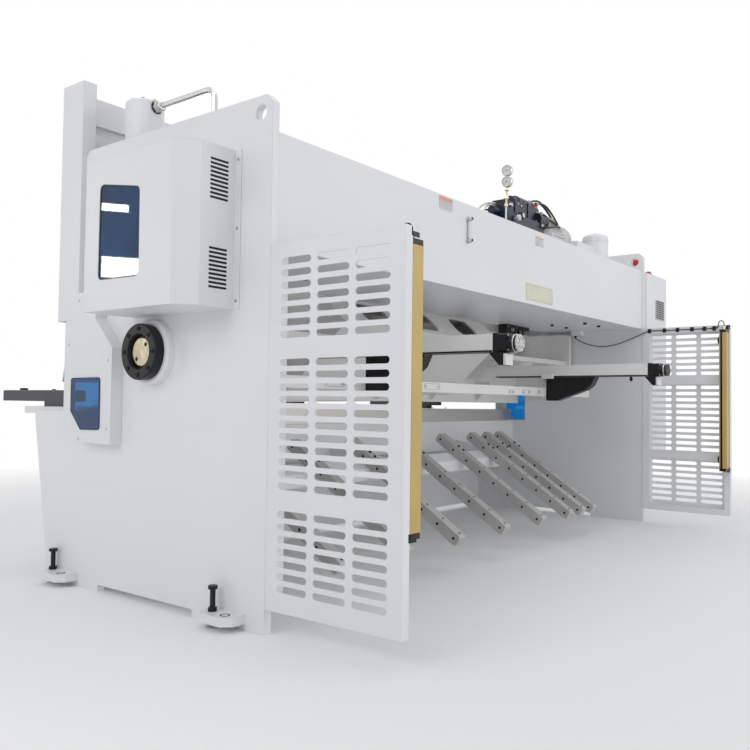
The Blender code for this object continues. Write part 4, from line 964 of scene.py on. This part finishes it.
DOOR_Z = (0.456, 1.626)
doors = Work()
for y in ((-0.426, -0.2095), (-0.2055, 0.011)):
    outline = rectangle(y, DOOR_Z)
    doors.ring(rounded(outline, 0.006), rounded(inset(outline, 0.012), 0.004),
               "X", CABINET_FACE - 0.0022, CABINET_FACE + 0.0004)
    doors.prism(rounded(inset(outline, 0.0125), 0.004),
                "X", CABINET_FACE - 0.0016, CABINET_FACE + 0.0004)
doors.done("cabinet_doors", "cover_paint", slot="cover_paint", bevel=0.0006)
# A dark line where the doors part, and dark slats: painted shade in the doors' louvre slots.
parting = Work()
parting.box((CABINET_FACE - 0.0004, CABINET_FACE + 0.0002), (-0.2093, -0.2057), DOOR_Z)
for z0 in (0.55, 1.48):
    for k in range(7):
        z = z0 + 0.014 * k
        parting.prism(panel((-0.16, -0.05), (z, z + 0.006), 0.0015, 2),
                      "X", CABINET_FACE - 0.0024, CABINET_FACE - 0.0012)
parting.done("cabinet_seam_and_louvre_shade", "painted_recess_shade_seams_and_print")
locks = Work()
for y in (-0.232, -0.183):
    locks.lathe([(0.014, 0), (0.014, 0.004), (0.011, 0.007)],
                (CABINET_FACE - 0.0016, y, 1.05), LEFT)
for y in (-0.4285, 0.0135):
    for z in (0.55, 1.01, 1.47):
        locks.rod((CABINET_FACE + 0.004, y, z), UP, 0.06, 0.0048, 14, 0.001)
locks.done("cabinet_locks", "zinc")
grille = Work().prism(panel((-2.052, -1.888), (1.338, 1.470), 0.004), "Y", 0.0148, 0.0185)
grille.done("cabinet_grille_frame", "grey_plastic", bevel=0.001)
# Dark bars in the grille frame: painted shade in its slots.
bars = Work()
for k in range(9):
    z = 1.347 + 0.0138 * k
    bars.prism(panel((-2.043, -1.897), (z, z + 0.0065), 0.002, 2), "Y", 0.0184, 0.0190)
bars.done("cabinet_grille_slot_shade", "painted_recess_shade_seams_and_print")
lamp = Work()
lamp.lathe([(0.025, 0), (0.025, 0.005), (0.021, 0.007), (0.021, 0.017), (0.015, 0.023),
            (0, 0.025)], (-1.828, -0.014, 1.632), UP)
lamp.lathe([(0.025, 0), (0.025, 0.034), (0.018, 0.046), (0, 0.050)], (-1.775, -0.077, 1.688), UP)
lamp.done("cabinet_lamp", "red")
post = Work().lathe([(0.022, 0), (0.022, 0.004), (0.013, 0.006), (0.013, 0.061)],
                    (-1.775, -0.077, 1.6315), UP)
post.done("cabinet_lamp_post", "zinc")

# ---------------------------------------------------------------- light and floor

def softbox(name, where, target, size, power):
    data = bpy.data.lights.new(name, "AREA")
    data.shape = "RECTANGLE"
    data.size, data.size_y = size
    data.energy = power
    made = bpy.data.objects.new(name, data)
    made.location = where
    made.rotation_euler = (Vector(target) - Vector(where)).to_track_quat("-Z", "Y").to_euler()
    bpy.context.scene.collection.objects.link(made)


def combine(tree, operation, one, two):
    made = node(tree, "Math")
    made.operation = operation
    link(tree, one, made.inputs[0])
    link(tree, two, made.inputs[1])
    return made.outputs[0]


def seen_ray(tree):
    """1 for the rays that show the background: camera, glossy and transmission."""
    path = node(tree, "LightPath")
    seen = combine(tree, "MAXIMUM", path.outputs["Is Camera Ray"], path.outputs["Is Glossy Ray"])
    return combine(tree, "MAXIMUM", seen, path.outputs["Is Transmission Ray"])


def blend(tree, factor, one, two, into):
    mix = node(tree, "MixShader")
    for out, socket in ((factor, mix.inputs["Fac"]), (one, mix.inputs[1]), (two, mix.inputs[2]),
                        (mix.outputs[0], into.inputs["Surface"])):
        link(tree, out, socket)


def studio():
    """White where it is seen, dim and cool where it lights the machine."""
    world = bpy.data.worlds.new("studio")
    bpy.context.scene.world = world
    world.use_nodes = True
    tree = world.node_tree
    tree.nodes.clear()
    lit = node(tree, "Background", Color=(0.95, 0.97, 1.0, 1), Strength=0.42)
    seen = node(tree, "Background", Color=(1, 1, 1, 1), Strength=1.0)
    blend(tree, seen_ray(tree), lit.outputs[0], seen.outputs[0], node(tree, "OutputWorld"))


def floor():
    """A pale floor that keeps the shadow and fades into the white background."""
    disc = bmesh.new()
    bmesh.ops.create_circle(disc, cap_ends=True, segments=96, radius=60)
    data = bpy.data.meshes.new("floor")
    disc.to_mesh(data)
    disc.free()
    ground = bpy.data.objects.new("floor", data)
    bpy.context.scene.collection.objects.link(ground)
    made, tree, bsdf = shader("floor")
    bsdf.inputs["Base Color"].default_value = (0.92, 0.92, 0.92, 1)
    bsdf.inputs["Roughness"].default_value = 0.8
    place = node(tree, "TexCoord")
    length = node(tree, "VectorMath")
    length.operation = "LENGTH"
    fade = node(tree, "MapRange", From_Min=2.6, From_Max=6.0)
    glow = node(tree, "Emission", Color=(1, 1, 1, 1))
    link(tree, place.outputs["Object"], length.inputs[0])
    link(tree, length.outputs["Value"], fade.inputs["Value"])
    shown = combine(tree, "MULTIPLY", fade.outputs["Result"], seen_ray(tree))
    blend(tree, shown, bsdf.outputs["BSDF"], glow.outputs[0], tree.nodes["Material Output"])
    data.materials.append(made)


studio()
floor()
softbox("overhead", (0.5, 0.5, 6.5), (0, 0, 0.8), (7, 6), 122)
softbox("rear", (-2.6, 6.0, 3.0), (-0.9, 0, 1.2), (4, 3), 62)
softbox("rear_low", (1.2, 5.8, 0.7), (0.2, 0, 1.05), (4, 1.2), 36)
softbox("right", (6.0, 0.5, 3.2), (0, 0, 1.0), (4, 3), 66)
softbox("front_left", (-5.5, -5.0, 3.2), (0, 0, 0.9), (4, 3), 90)
softbox("window_patch", (4.35, -3.30, 1.85), (2.01, 0.12, 1.20), (0.30, 0.17), 5.0)
softbox("window_strip", (4.35, -3.40, 2.37), (2.01, 0.12, 1.41), (0.22, 0.06), 1.4)
bpy.context.scene.view_settings.view_transform = "Standard"
